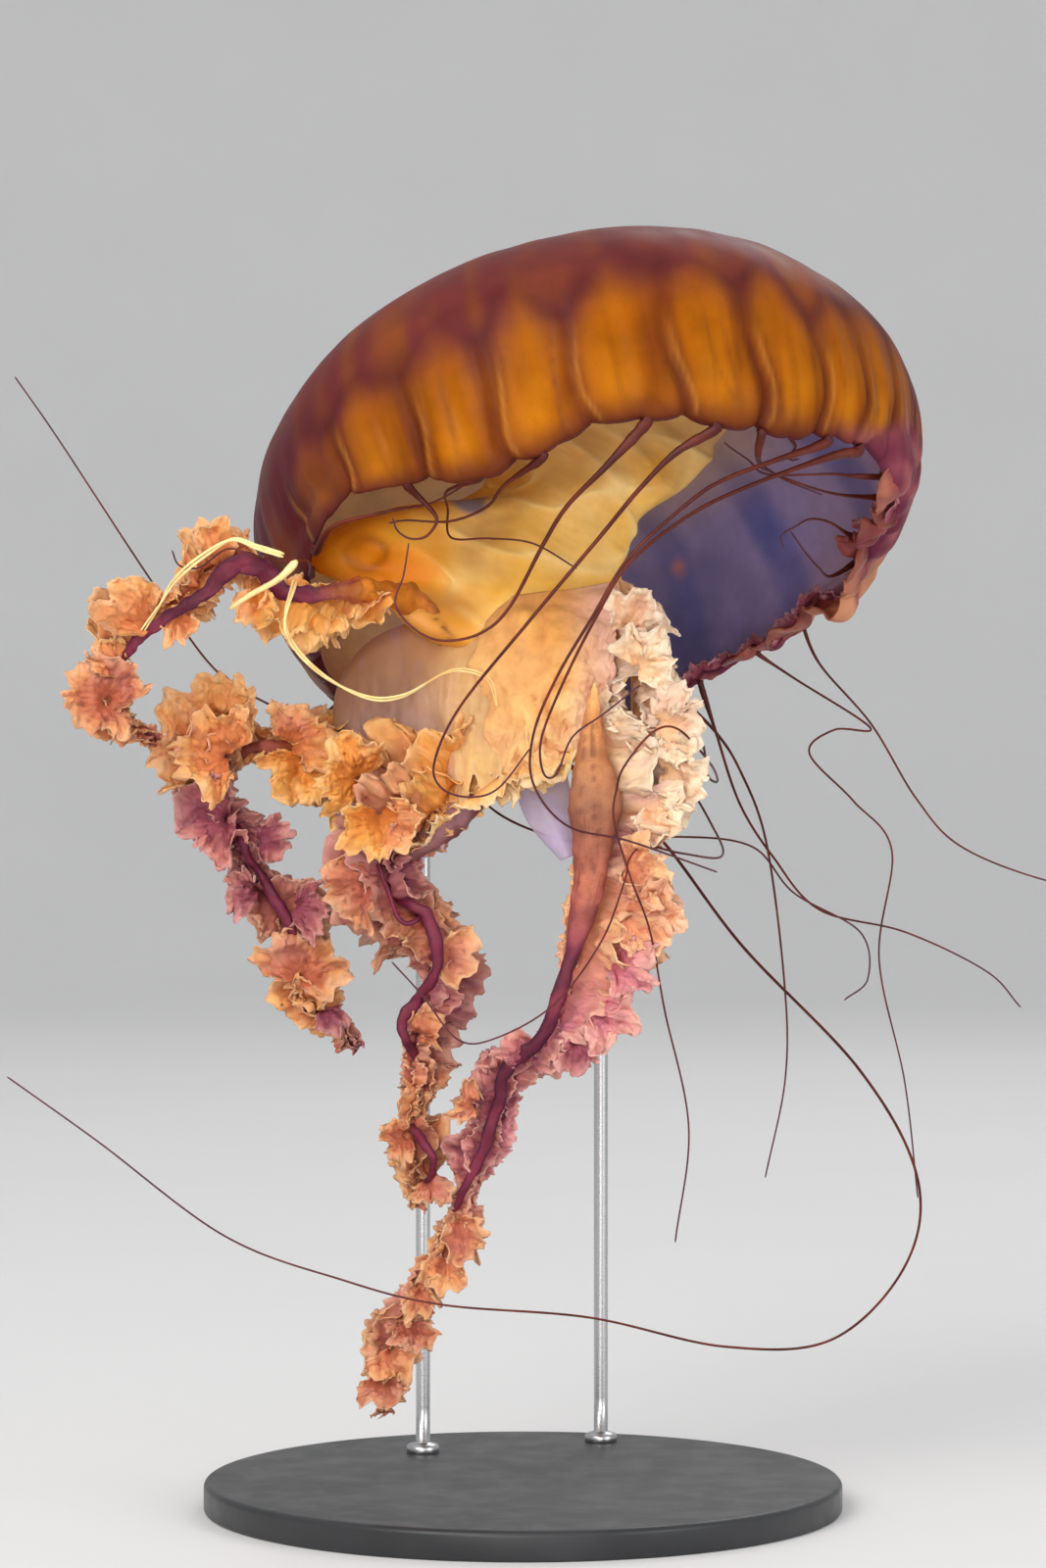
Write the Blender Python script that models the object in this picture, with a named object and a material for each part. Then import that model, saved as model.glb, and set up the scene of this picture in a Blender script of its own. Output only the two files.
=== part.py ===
"""A sea nettle jellyfish (Chrysaora fuscescens) as a life-size still model on a plain display stand.

The bell is tipped back and a little to one side, so that its opening shows from the front.
Each oral arm is a band with a rib down it and a frilled lip on each side, cut into a few lengths.
Each tentacle is a tapered tube that leaves the bell's margin. X is to the right, Y is to the rear
and Z is up, in metres, and the origin is the centre of the base's underside.
"""

import math

import bmesh
import bpy
import numpy as np

GAP = 0.0004              # clearance between neighbouring pieces

# ---- bell ----
BELL_RADIUS = 0.138       # at the widest ring
CROWN_HEIGHT = 0.076      # from the widest ring up to the crown
BELL_CENTRE = (0.027, 0.0, 0.415)
TIP_BACK = math.radians(30)
TIP_SIDE = math.radians(14)
CROWN_PART = 0.6          # share of the meridian that lies above the widest ring
LAPPETS = 32
LAPPET_LENGTH = 0.003
PLEATS = 16
PLEAT_DEPTH = 0.0016
CROWN_WALL = 0.0065
MARGIN_WALL = 0.0016
# depth of the skirt under the widest ring, and how far the margin draws in,
# at every 22.5 degrees from the right-hand side by way of the rear
SKIRT_DEPTH = (0.044, 0.037, 0.032, 0.032, 0.036, 0.041, 0.046, 0.048,
               0.048, 0.045, 0.036, 0.056, 0.052, 0.055, 0.057, 0.052)
DRAW_IN = (0.030, 0.030, 0.026, 0.022, 0.016, 0.016, 0.016, 0.016,
           0.016, 0.010, 0.008, 0.016, 0.020, 0.020, 0.018, 0.018)
OUTER_ROWS = (0.10, 0.22, 0.34, 0.45, 0.55, 0.64, 0.73, 0.82, 0.91, 1.0)
INNER_ROWS = (0.09, 0.18, 0.34, 0.50, 0.66, 0.82, 1.0)

# ---- manubrium: x, y, z, half width, half depth ----
MANUBRIUM = (
    (0.030, 0.026, 0.446, 0.052, 0.036),
    (0.028, 0.012, 0.420, 0.040, 0.034),
    (0.006, 0.002, 0.403, 0.041, 0.034),
    (-0.006, -0.012, 0.379, 0.042, 0.036),
    (0.006, -0.023, 0.356, 0.035, 0.034),
    (0.010, -0.030, 0.339, 0.030, 0.030),
    (0.000, -0.035, 0.325, 0.030, 0.024),
)

# ---- oral arms: x, y, z of the rib, then the width of the lip on each side of it ----
# The second lip lies clockwise of the first, as seen from the front going down the arm.
ARM_LEFT = (
    (-0.0315, -0.036, 0.352, 0.007, 0.007), (-0.037, -0.052, 0.358, 0.006, 0.007),
    (-0.042, -0.066, 0.365, 0.006, 0.006), (-0.054, -0.076, 0.368, 0.005, 0.009),
    (-0.070, -0.084, 0.369, 0.005, 0.017), (-0.083, -0.090, 0.369, 0.005, 0.025),
    (-0.093, -0.092, 0.371, 0.007, 0.022), (-0.102, -0.092, 0.377, 0.006, 0.013),
    (-0.112, -0.090, 0.382, 0.013, 0.009), (-0.122, -0.088, 0.379, 0.017, 0.013),
    (-0.131, -0.086, 0.370, 0.007, 0.014), (-0.139, -0.084, 0.365, 0.006, 0.010),
    (-0.147, -0.082, 0.358, 0.019, 0.006), (-0.154, -0.080, 0.351, 0.020, 0.005),
    (-0.158, -0.080, 0.344, 0.012, 0.006), (-0.161, -0.080, 0.336, 0.012, 0.011),
    (-0.163, -0.080, 0.328, 0.012, 0.012), (-0.159, -0.080, 0.319, 0.011, 0.009),
    (-0.150, -0.080, 0.315, 0.006, 0.006), (-0.142, -0.080, 0.311, 0.002, 0.002),
)
ARM_LOWER = (
    (-0.034, -0.028, 0.328, 0.008, 0.010), (-0.052, -0.029, 0.320, 0.012, 0.021),
    (-0.073, -0.034, 0.314, 0.012, 0.028), (-0.091, -0.042, 0.314, 0.012, 0.020),
    (-0.103, -0.048, 0.312, 0.007, 0.009), (-0.114, -0.051, 0.309, 0.026, 0.009),
    (-0.123, -0.052, 0.301, 0.021, 0.010), (-0.124, -0.050, 0.289, 0.013, 0.010),
    (-0.120, -0.048, 0.277, 0.012, 0.018), (-0.111, -0.046, 0.266, 0.009, 0.014),
    (-0.106, -0.045, 0.256, 0.011, 0.008), (-0.098, -0.045, 0.245, 0.014, 0.020),
    (-0.091, -0.045, 0.234, 0.007, 0.016), (-0.090, -0.045, 0.222, 0.010, 0.010),
    (-0.088, -0.045, 0.212, 0.012, 0.014), (-0.079, -0.045, 0.202, 0.009, 0.011),
    (-0.065, -0.045, 0.190, 0.002, 0.003),
)
ARM_CENTRE = (
    (-0.009, -0.046, 0.313, 0.018, 0.013), (-0.017, -0.056, 0.303, 0.024, 0.013),
    (-0.032, -0.063, 0.287, 0.037, 0.012), (-0.042, -0.063, 0.276, 0.034, 0.011),
    (-0.051, -0.062, 0.264, 0.025, 0.013), (-0.051, -0.060, 0.253, 0.023, 0.017),
    (-0.043, -0.056, 0.245, 0.024, 0.013), (-0.036, -0.054, 0.235, 0.019, 0.015),
    (-0.034, -0.052, 0.221, 0.009, 0.017), (-0.036, -0.050, 0.209, 0.006, 0.017),
    (-0.041, -0.048, 0.200, 0.008, 0.016), (-0.042, -0.046, 0.188, 0.008, 0.014),
    (-0.040, -0.046, 0.178, 0.010, 0.011), (-0.042, -0.046, 0.166, 0.009, 0.007),
    (-0.044, -0.046, 0.157, 0.008, 0.014), (-0.042, -0.046, 0.147, 0.011, 0.012),
    (-0.040, -0.046, 0.137, 0.010, 0.005), (-0.043, -0.046, 0.127, 0.002, 0.002),
)
ARM_RIGHT = (
    (0.027, -0.0605, 0.339, 0.004, 0.006), (0.028, -0.072, 0.318, 0.007, 0.021),
    (0.030, -0.076, 0.301, 0.010, 0.031), (0.030, -0.076, 0.284, 0.010, 0.035),
    (0.027, -0.074, 0.269, 0.008, 0.022), (0.026, -0.072, 0.257, 0.009, 0.033),
    (0.022, -0.070, 0.237, 0.009, 0.032), (0.018, -0.068, 0.218, 0.006, 0.028),
    (0.013, -0.066, 0.201, 0.005, 0.021), (0.006, -0.064, 0.190, 0.007, 0.014),
    (-0.001, -0.062, 0.185, 0.012, 0.010), (-0.007, -0.060, 0.177, 0.016, 0.010),
    (-0.010, -0.058, 0.163, 0.015, 0.010), (-0.015, -0.056, 0.150, 0.014, 0.009),
    (-0.020, -0.054, 0.138, 0.009, 0.006), (-0.024, -0.052, 0.128, 0.008, 0.009),
    (-0.028, -0.050, 0.118, 0.008, 0.015), (-0.034, -0.048, 0.106, 0.008, 0.010),
    (-0.042, -0.046, 0.094, 0.008, 0.010), (-0.047, -0.045, 0.082, 0.012, 0.011),
    (-0.052, -0.045, 0.070, 0.012, 0.012), (-0.055, -0.045, 0.059, 0.009, 0.010),
    (-0.055, -0.045, 0.045, 0.002, 0.005),
)
# each arm: name, rows, where it is cut along its length, half thickness at the rib
ARMS = (
    ("arm_left", ARM_LEFT, (0.42, 0.72), 0.0075),
    ("arm_lower", ARM_LOWER, (0.26, 0.50, 0.74), 0.0090),
    ("arm_centre", ARM_CENTRE, (0.26, 0.50, 0.74), 0.0090),
    ("arm_right", ARM_RIGHT, (0.22, 0.42, 0.60, 0.80), 0.0090),
)
ROW_SPACING = 0.0056
# thin crescent beside the right arm's spindle, and the frill above that arm: rows as for an arm
CRESCENT = (
    (0.010, -0.054, 0.318, 0.004, 0.005), (0.010, -0.061, 0.300, 0.006, 0.006),
    (0.0135, -0.067, 0.284, 0.006, 0.005), (0.0175, -0.071, 0.267, 0.002, 0.002),
)
COLLAR = (
    (0.0535, -0.036, 0.343, 0.007, 0.010), (0.0565, -0.040, 0.352, 0.010, 0.010),
    (0.0565, -0.040, 0.362, 0.009, 0.005),
)

# ---- tentacles: name, direction of the root on the margin in degrees, root radius in
# millimetres, share of the length where it is cut (none if not cut), points after the root ----
TENTACLES = (
    ("01", 211, 2.0, (), [(-0.073, -0.092, 0.395), (-0.052, -0.101, 0.400), (-0.036, -0.101, 0.403),
                          (-0.024, -0.104, 0.409), (-0.018, -0.106, 0.413)]),
    ("02", 236, 1.7, (), [(-0.041, -0.110, 0.406), (-0.036, -0.110, 0.401), (-0.033, -0.110, 0.396),
                          (-0.037, -0.110, 0.390), (-0.043, -0.110, 0.389), (-0.048, -0.110, 0.392),
                          (-0.050, -0.111, 0.397)]),
    ("03", 261, 1.9, (), [(-0.007, -0.118, 0.409), (-0.014, -0.112, 0.401), (-0.028, -0.105, 0.396),
                          (-0.045, -0.094, 0.397), (-0.052, -0.092, 0.396)]),
    ("04", 281, 2.6, (), [(0.032, -0.127, 0.416), (0.017, -0.122, 0.401), (0.008, -0.116, 0.387),
                          (-0.005, -0.110, 0.363), (-0.016, -0.108, 0.353), (-0.030, -0.106, 0.350),
                          (-0.041, -0.105, 0.354), (-0.049, -0.105, 0.364), (-0.046, -0.104, 0.375),
                          (-0.044, -0.100, 0.388)]),
    ("05", 294, 2.4, (0.5,), [(0.058, -0.122, 0.421), (0.044, -0.119, 0.407), (0.029, -0.115, 0.389),
                              (0.002, -0.110, 0.357), (-0.024, -0.104, 0.325), (-0.034, -0.100, 0.304),
                              (-0.032, -0.098, 0.294), (-0.022, -0.097, 0.290), (-0.010, -0.097, 0.293),
                              (0.003, -0.097, 0.309)]),
    ("06", 303.5, 1.8, (), [(0.090, -0.110, 0.422), (0.092, -0.100, 0.418), (0.102, -0.088, 0.413),
                            (0.117, -0.076, 0.408)]),
    ("07", 318, 2.1, (0.5,), [(0.096, -0.106, 0.419), (0.078, -0.110, 0.412), (0.065, -0.112, 0.404),
                              (0.041, -0.114, 0.382), (0.026, -0.113, 0.358), (0.013, -0.112, 0.336),
                              (0.004, -0.111, 0.314), (0.004, -0.111, 0.295), (0.017, -0.111, 0.279),
                              (0.041, -0.109, 0.273), (0.075, -0.100, 0.261)]),
    ("08", 327, 2.3, (0.5,), [(0.120, -0.092, 0.422), (0.090, -0.100, 0.411), (0.065, -0.104, 0.399),
                              (0.041, -0.107, 0.380), (0.028, -0.106, 0.359), (0.015, -0.104, 0.333),
                              (0.007, -0.102, 0.312), (0.008, -0.101, 0.299), (0.013, -0.101, 0.299),
                              (0.019, -0.102, 0.313), (0.031, -0.103, 0.322), (0.045, -0.103, 0.333)]),
    ("09", 341, 1.6, (), [(0.129, -0.068, 0.416), (0.120, -0.078, 0.416), (0.095, -0.090, 0.415),
                          (0.087, -0.098, 0.420), (0.080, -0.106, 0.424), (0.077, -0.110, 0.426)]),
    ("10", 350, 1.7, (), [(0.127, -0.058, 0.409), (0.114, -0.070, 0.411), (0.098, -0.080, 0.416),
                          (0.090, -0.086, 0.419)]),
    ("11", 11, 1.7, (), [(0.132, -0.014, 0.396), (0.123, -0.030, 0.400), (0.115, -0.036, 0.401),
                         (0.109, -0.040, 0.398), (0.103, -0.042, 0.394), (0.104, -0.042, 0.389)]),
    ("12", 22.5, 1.5, (), [(0.126, 0.006, 0.380), (0.120, -0.008, 0.383), (0.114, -0.016, 0.389),
                         (0.108, -0.020, 0.397)]),
    ("13", 48, 1.2, (), [(0.125, 0.062, 0.346), (0.147, 0.060, 0.320), (0.165, 0.052, 0.289),
                         (0.183, 0.045, 0.269), (0.217, 0.030, 0.255), (0.253, 0.015, 0.249)]),
    ("14", 62, 1.2, (0.5,), [(0.116, 0.083, 0.340), (0.148, 0.080, 0.319), (0.132, 0.070, 0.318),
                             (0.121, 0.064, 0.308), (0.139, 0.058, 0.288), (0.155, 0.054, 0.267),
                             (0.149, 0.046, 0.222), (0.159, 0.038, 0.171), (0.164, 0.032, 0.123)]),
    ("15", 76, 1.4, (), [(0.082, 0.082, 0.318), (0.092, 0.076, 0.287), (0.106, 0.068, 0.264),
                         (0.125, 0.060, 0.242), (0.160, 0.048, 0.233), (0.193, 0.038, 0.217),
                         (0.207, 0.034, 0.202)]),
    ("16", 81, 1.4, (), [(0.082, 0.092, 0.318), (0.093, 0.092, 0.301), (0.104, 0.086, 0.270),
                         (0.111, 0.074, 0.211), (0.111, 0.066, 0.171), (0.102, 0.058, 0.129)]),
    ("17", 109, 1.6, (0.33, 0.66), [(0.028, 0.074, 0.295), (0.057, 0.064, 0.273), (0.092, 0.050, 0.227),
                                    (0.139, 0.026, 0.177), (0.161, 0.004, 0.135), (0.155, -0.016, 0.101),
                                    (0.124, -0.036, 0.073), (0.080, -0.052, 0.072),
                                    (0.026, -0.064, 0.085), (-0.032, -0.072, 0.091),
                                    (-0.071, -0.066, 0.100), (-0.118, -0.054, 0.116),
                                    (-0.170, -0.036, 0.152), (-0.208, -0.022, 0.177)]),
    ("18", 119, 1.3, (), [(-0.020, 0.064, 0.295), (-0.006, 0.056, 0.280), (0.027, 0.044, 0.270),
                          (0.064, 0.036, 0.273), (0.095, 0.030, 0.269), (0.112, 0.026, 0.250),
                          (0.139, 0.020, 0.234), (0.142, 0.016, 0.215), (0.132, 0.014, 0.206)]),
    ("19", 310, 1.0, (), [(0.105, -0.098, 0.425), (0.103, -0.094, 0.422), (0.104, -0.091, 0.4205),
                          (0.107, -0.091, 0.421)]),
    ("20", 249, 1.3, (), [(-0.029, -0.114, 0.407), (-0.029, -0.098, 0.401), (-0.028, -0.083, 0.391),
                          (-0.013, -0.076, 0.391), (0.004, -0.076, 0.389), (0.021, -0.080, 0.379)]),
    ("21", 88, 1.3, (0.42,), [(0.074, 0.064, 0.315), (0.076, 0.020, 0.299), (0.078, -0.030, 0.296),
                              (0.073, -0.080, 0.303), (0.060, -0.100, 0.316), (0.050, -0.105, 0.315),
                              (0.039, -0.107, 0.302), (0.036, -0.104, 0.293), (0.035, -0.104, 0.281),
                              (0.041, -0.104, 0.260), (0.049, -0.100, 0.238), (0.055, -0.088, 0.207),
                              (0.065, -0.070, 0.160), (0.060, -0.060, 0.114)]),
    ("22", 98, 1.3, (0.45,), [(0.065, 0.066, 0.299), (0.079, 0.020, 0.276), (0.079, -0.040, 0.266),
                              (0.062, -0.086, 0.268), (0.047, -0.098, 0.271), (0.041, -0.099, 0.266),
                              (0.039, -0.099, 0.257), (0.030, -0.100, 0.234), (0.012, -0.098, 0.210),
                              (-0.010, -0.096, 0.197), (-0.025, -0.094, 0.196), (-0.039, -0.090, 0.213),
                              (-0.051, -0.088, 0.226)]),
    ("23", 165, 1.2, (), [(-0.086, 0.004, 0.322), (-0.107, 0.020, 0.329), (-0.129, 0.026, 0.344),
                          (-0.156, 0.030, 0.382), (-0.193, 0.036, 0.438), (-0.212, 0.040, 0.465)]),
    ("24", 206, 1.6, (), [(-0.083, -0.100, 0.381), (-0.091, -0.109, 0.380), (-0.102, -0.113, 0.382),
                          (-0.113, -0.112, 0.385), (-0.124, -0.109, 0.378), (-0.132, -0.106, 0.379),
                          (-0.135, -0.104, 0.385)]),
)
TENTACLE_TIP = 0.00045    # radius

# ---- loose cream filaments: name, radius in millimetres, points ----
FILAMENTS = (
    ("filament_long", 1.0, [(-0.087, -0.116, 0.373), (-0.091, -0.110, 0.355), (-0.081, -0.101, 0.340),
                            (-0.062, -0.093, 0.329), (-0.047, -0.089, 0.329), (-0.028, -0.087, 0.339),
                            (-0.014, -0.087, 0.336), (-0.010, -0.087, 0.325)]),
    ("filament_thick", 1.6, [(-0.086, -0.121, 0.380), (-0.093, -0.122, 0.373), (-0.104, -0.119, 0.367),
                             (-0.112, -0.114, 0.362)]),
    ("filament_wrap", 1.1, [(-0.091, -0.121, 0.382), (-0.101, -0.122, 0.385), (-0.111, -0.121, 0.388),
                            (-0.123, -0.118, 0.381), (-0.134, -0.112, 0.372), (-0.140, -0.106, 0.363),
                            (-0.148, -0.100, 0.352)]),
)

# ---- orange lobe between the manubrium and the left wall ----
LOBE_CENTRE = (-0.0550, -0.038, 0.387)
LOBE_RADII = (0.020, 0.018, 0.0145)

# ---- stand ----
BASE_RADIUS = 0.130
BASE_HEIGHT = 0.012
BASE_EDGE = 0.0025
ROD_RADIUS = 0.003
ROD_PLACES = (("stand_rod_right", 97, 0.84), ("stand_rod_left", 133, 0.84))

# ---- colours ----
COLOURS = {
    "bell": (0.42, 0.13, 0.02), "manubrium": (0.75, 0.42, 0.12), "arm": (0.76, 0.27, 0.09),
    "frill": (0.72, 0.42, 0.26), "lobe": (0.74, 0.22, 0.01), "tentacle": (0.17, 0.03, 0.03),
    "filament": (0.80, 0.58, 0.30), "crescent": (0.45, 0.36, 0.55), "stand": (0.03, 0.03, 0.035),
    "rod": (0.55, 0.55, 0.56),
}


def clear_scene():
    for obj in list(bpy.data.objects):
        bpy.data.objects.remove(obj, do_unlink=True)


def material(name, colour, roughness, metallic=0.0):
    made = bpy.data.materials.new(name)
    made.use_nodes = True
    shader = made.node_tree.nodes["Principled BSDF"]
    shader.inputs["Base Color"].default_value = (*colour, 1.0)
    shader.inputs["Roughness"].default_value = roughness
    shader.inputs["Metallic"].default_value = metallic
    return made


def add_solid(name, points, faces, colour, roughness=0.4, metallic=0.0, smooth=True):
    """One closed mesh object, with its faces turned outwards."""
    mesh = bpy.data.meshes.new(name)
    mesh.from_pydata([tuple(p) for p in points], [], faces)
    work = bmesh.new()
    work.from_mesh(mesh)
    bmesh.ops.recalc_face_normals(work, faces=work.faces)
    work.to_mesh(mesh)
    work.free()
    for polygon in mesh.polygons:
        polygon.use_smooth = smooth
    obj = bpy.data.objects.new(name, mesh)
    bpy.context.scene.collection.objects.link(obj)
    mesh.materials.append(material(name + "_material", colour, roughness, metallic))
    return obj


def around(values, phi):
    """A smooth closed curve through evenly spaced values, read at angle phi."""
    count = len(values)
    waves = np.fft.rfft(values) / count
    total = np.full_like(phi, waves[0].real)
    for k in range(1, count // 2):
        total = total + 2 * (waves[k].real * np.cos(k * phi) - waves[k].imag * np.sin(k * phi))
    return total + waves[count // 2].real * np.cos(count // 2 * phi)


def tip_over(local):
    """Turns points of the upright bell into its tipped place."""
    x, y, z = local[..., 0], local[..., 1], local[..., 2]
    back_y = y * math.cos(TIP_BACK) + z * math.sin(TIP_BACK)
    back_z = z * math.cos(TIP_BACK) - y * math.sin(TIP_BACK)
    side_x = x * math.cos(TIP_SIDE) - back_z * math.sin(TIP_SIDE)
    side_z = x * math.sin(TIP_SIDE) + back_z * math.cos(TIP_SIDE)
    return np.stack([side_x, back_y, side_z], -1) + np.array(BELL_CENTRE)


def bell_local(phi, u):
    """The bell's outer surface, u from 0 at the crown to 1 at the margin."""
    depth = around(SKIRT_DEPTH, phi)
    draw = around(DRAW_IN, phi)
    crown = np.clip(u / CROWN_PART, 0, 1) * math.pi / 2
    skirt = np.clip((u - CROWN_PART) / (1 - CROWN_PART), 0, 1)
    r = BELL_RADIUS * np.sin(crown) ** 0.92 - draw * skirt ** 1.6
    r = r + PLEAT_DEPTH * np.cos(PLEATS * phi) * np.clip((u - 0.3) / 0.5, 0, 1) ** 2
    z = CROWN_HEIGHT * np.cos(crown) - depth * np.sin(skirt * math.pi / 2 * 0.98)
    return np.stack([r * np.cos(phi), r * np.sin(phi), z], -1)


def bell_inner(phi, u, extra=0.0):
    """The wall's inner surface, thinner towards the margin."""
    step = 0.004
    across = bell_local(phi + step, u) - bell_local(phi - step, u)
    down = bell_local(phi, np.minimum(u + step, 1.0)) - bell_local(phi, np.maximum(u - step, 0.01))
    normal = np.cross(down, across)
    normal = normal / np.linalg.norm(normal, axis=-1, keepdims=True)
    wall = CROWN_WALL + (MARGIN_WALL - CROWN_WALL) * np.clip(u, 0, 1) ** 1.5
    return bell_local(phi, u) - normal * (wall + extra)[..., None]


def bell():
    columns = LAPPETS * 2
    phi = np.arange(columns) * 2 * math.pi / columns
    points = [tip_over(np.array([0.0, 0.0, CROWN_HEIGHT]))]
    lappet = LAPPET_LENGTH * (0.5 - 0.5 * np.cos(LAPPETS * phi))
    for u in OUTER_ROWS:
        ring = bell_local(phi, np.full_like(phi, u))
        if u == 1.0:
            ring[:, 2] -= lappet
        points.extend(tip_over(ring))
    for u in reversed(INNER_ROWS):
        ring = bell_inner(phi, np.full_like(phi, u))
        if u == 1.0:
            ring[:, 2] -= lappet
        points.extend(tip_over(ring))
    points.append(tip_over(np.array([0.0, 0.0, CROWN_HEIGHT - CROWN_WALL])))
    rings = len(OUTER_ROWS) + len(INNER_ROWS)
    faces = []
    for j in range(columns):
        faces.append((0, 1 + j, 1 + (j + 1) % columns))
        last = 1 + (rings - 1) * columns
        faces.append((len(points) - 1, last + (j + 1) % columns, last + j))
    for i in range(rings - 1):
        for j in range(columns):
            a, b = 1 + i * columns + j, 1 + i * columns + (j + 1) % columns
            faces.append((a, a + columns, b + columns, b))
    add_solid("bell", points, faces, COLOURS["bell"], 0.3)


def manubrium():
    """A four-cornered stalk under the crown, whose top follows the bell's inner surface."""
    columns = 20
    phi = np.arange(columns) * 2 * math.pi / columns
    apex = tip_over(np.array([0.0, 0.0, CROWN_HEIGHT - CROWN_WALL - 0.0012]))
    points = [apex]
    for u in (0.09, 0.18):
        points.extend(tip_over(bell_inner(phi, np.full_like(phi, u), 0.0009)))
    corners = 1 + 0.08 * np.cos(4 * phi + 0.6)
    for x, y, z, wide, deep in MANUBRIUM:
        ring = np.stack([x + wide * corners * np.cos(phi), y + deep * corners * np.sin(phi),
                         np.full_like(phi, z)], -1)
        points.extend(ring)
    rings = 2 + len(MANUBRIUM)
    faces = [(0, 1 + j, 1 + (j + 1) % columns) for j in range(columns)]
    for i in range(rings - 1):
        for j in range(columns):
            a, b = 1 + i * columns + j, 1 + i * columns + (j + 1) % columns
            faces.append((a, a + columns, b + columns, b))
    faces.append(tuple(range(1 + (rings - 1) * columns, 1 + rings * columns)))
    add_solid("manubrium", points, faces, COLOURS["manubrium"])


def smooth_rows(rows, spacing):
    """Rows of numbers made dense along a smooth curve, evenly by distance in the first three."""
    rows = np.array(rows, float)
    ends = np.vstack([2 * rows[0] - rows[1], rows, 2 * rows[-1] - rows[-2]])
    dense = []
    for i in range(1, len(ends) - 2):
        a, b, c, d = ends[i - 1:i + 3]
        for t in np.linspace(0, 1, 16, endpoint=False):
            curve = 2 * b + (c - a) * t + (2 * a - 5 * b + 4 * c - d) * t ** 2
            dense.append(0.5 * (curve + (3 * b - a - 3 * c + d) * t ** 3))
    dense.append(ends[-2])
    dense = np.array(dense)
    steps = np.linalg.norm(np.diff(dense[:, :3], axis=0), axis=1)
    length = np.concatenate([[0], np.cumsum(steps)])
    count = max(3, int(round(length[-1] / spacing)) + 1)
    wanted = np.linspace(0, length[-1], count)
    return np.stack([np.interp(wanted, length, dense[:, k]) for k in range(rows.shape[1])], -1)


def directions(path, reach=1):
    """The unit direction of travel at each point of a path."""
    count = len(path)
    after = path[np.minimum(np.arange(count) + reach, count - 1)]
    before = path[np.maximum(np.arange(count) - reach, 0)]
    travel = after - before
    return travel / np.linalg.norm(travel, axis=1, keepdims=True)


def cut_lengths(count, cuts):
    """The first and last row of each length."""
    marks = [0] + [int(round(c * (count - 1))) for c in cuts] + [count - 1]
    return list(zip(marks[:-1], marks[1:]))


def band(name, rows, cuts, thick, colour, seed=0.0):
    """A band with a rib and two frilled lips: a lens-shaped section that swells and narrows."""
    rows = smooth_rows(rows, ROW_SPACING)
    travel = directions(rows[:, :3], 3)
    side = np.stack([-travel[:, 2], np.zeros(len(rows)), travel[:, 0]], -1)
    side = side / np.linalg.norm(side, axis=1, keepdims=True)
    front = np.array([0.0, -1.0, 0.0])
    wave = 1 + 0.10 * np.cos(np.arange(len(rows)) * 2.3 + seed)
    curl = 0.33 * thick * np.cos(np.arange(len(rows)) * 1.7 + seed)
    ease = np.minimum(1.0, np.minimum(rows[:, 3], rows[:, 4]) / 0.006 + 0.25)
    lengths = cut_lengths(len(rows), cuts)
    for number, (first, last) in enumerate(lengths, 1):
        points = []
        for i in range(first, last + 1):
            centre = rows[i, :3].copy()
            if i == first and number > 1:
                centre = centre + travel[i] * GAP / 2
            if i == last and number < len(lengths):
                centre = centre - travel[i] * GAP / 2
            left, right = rows[i, 3] * wave[i], rows[i, 4] * wave[i]
            deep = thick * ease[i]
            section = ((-left, curl[i]), (-0.55 * left, 0.75 * deep), (0, deep),
                       (0.55 * right, 0.75 * deep), (right, -curl[i]),
                       (0.55 * right, -0.75 * deep), (0, -deep), (-0.55 * left, -0.75 * deep))
            points.extend(centre + side[i] * s + front * f for s, f in section)
        faces = tube_faces(last - first + 1, 8)
        label = name if len(lengths) == 1 else "%s_%d" % (name, number)
        add_solid(label, points, faces, colour)


def tube_faces(rings, sides):
    faces = [tuple(range(sides)), tuple(range((rings - 1) * sides, rings * sides))]
    for i in range(rings - 1):
        for j in range(sides):
            a, b = i * sides + j, i * sides + (j + 1) % sides
            faces.append((a, a + sides, b + sides, b))
    return faces


def thin_path(path, most_turn, longest):
    """Leaves out points of a dense path where it is straight."""
    travel = directions(path)
    kept = [0]
    for i in range(1, len(path) - 1):
        turned = math.acos(max(-1.0, min(1.0, float(travel[i] @ travel[kept[-1]]))))
        if turned > most_turn or np.linalg.norm(path[i] - path[kept[-1]]) > longest:
            kept.append(i)
    return kept + [len(path) - 1]


def strand(name, points, root, tip, cuts, sides, colour):
    """A tapered tube along a smooth path, cut into lengths."""
    path = smooth_rows(points, 0.0015)
    share = np.linspace(0, 1, len(path))
    radius = tip + (root - tip) * (1 - share) ** 1.4
    keep = thin_path(path, math.radians(20), 0.026)
    marks = cut_lengths(len(keep), cuts)
    travel = directions(path, 2)
    start = np.cross(travel[0], (0.3, 1.0, 0.2))
    across = start / np.linalg.norm(start)
    frames = []
    for t in travel:
        across = across - t * (across @ t)
        across = across / np.linalg.norm(across)
        frames.append((across, np.cross(t, across)))
    for number, (first, last) in enumerate(marks, 1):
        rings = []
        for i in keep[first:last + 1]:
            centre = path[i]
            if i == keep[first] and number > 1:
                centre = centre + travel[i] * GAP / 2
            if i == keep[last] and number < len(marks):
                centre = centre - travel[i] * GAP / 2
            for k in range(sides):
                angle = 2 * math.pi * k / sides
                offset = frames[i][0] * math.cos(angle) + frames[i][1] * math.sin(angle)
                rings.append(centre + offset * radius[i])
        faces = tube_faces(last - first + 1, sides)
        label = name if len(marks) == 1 else "%s_%d" % (name, number)
        add_solid(label, rings, faces, colour)


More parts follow.
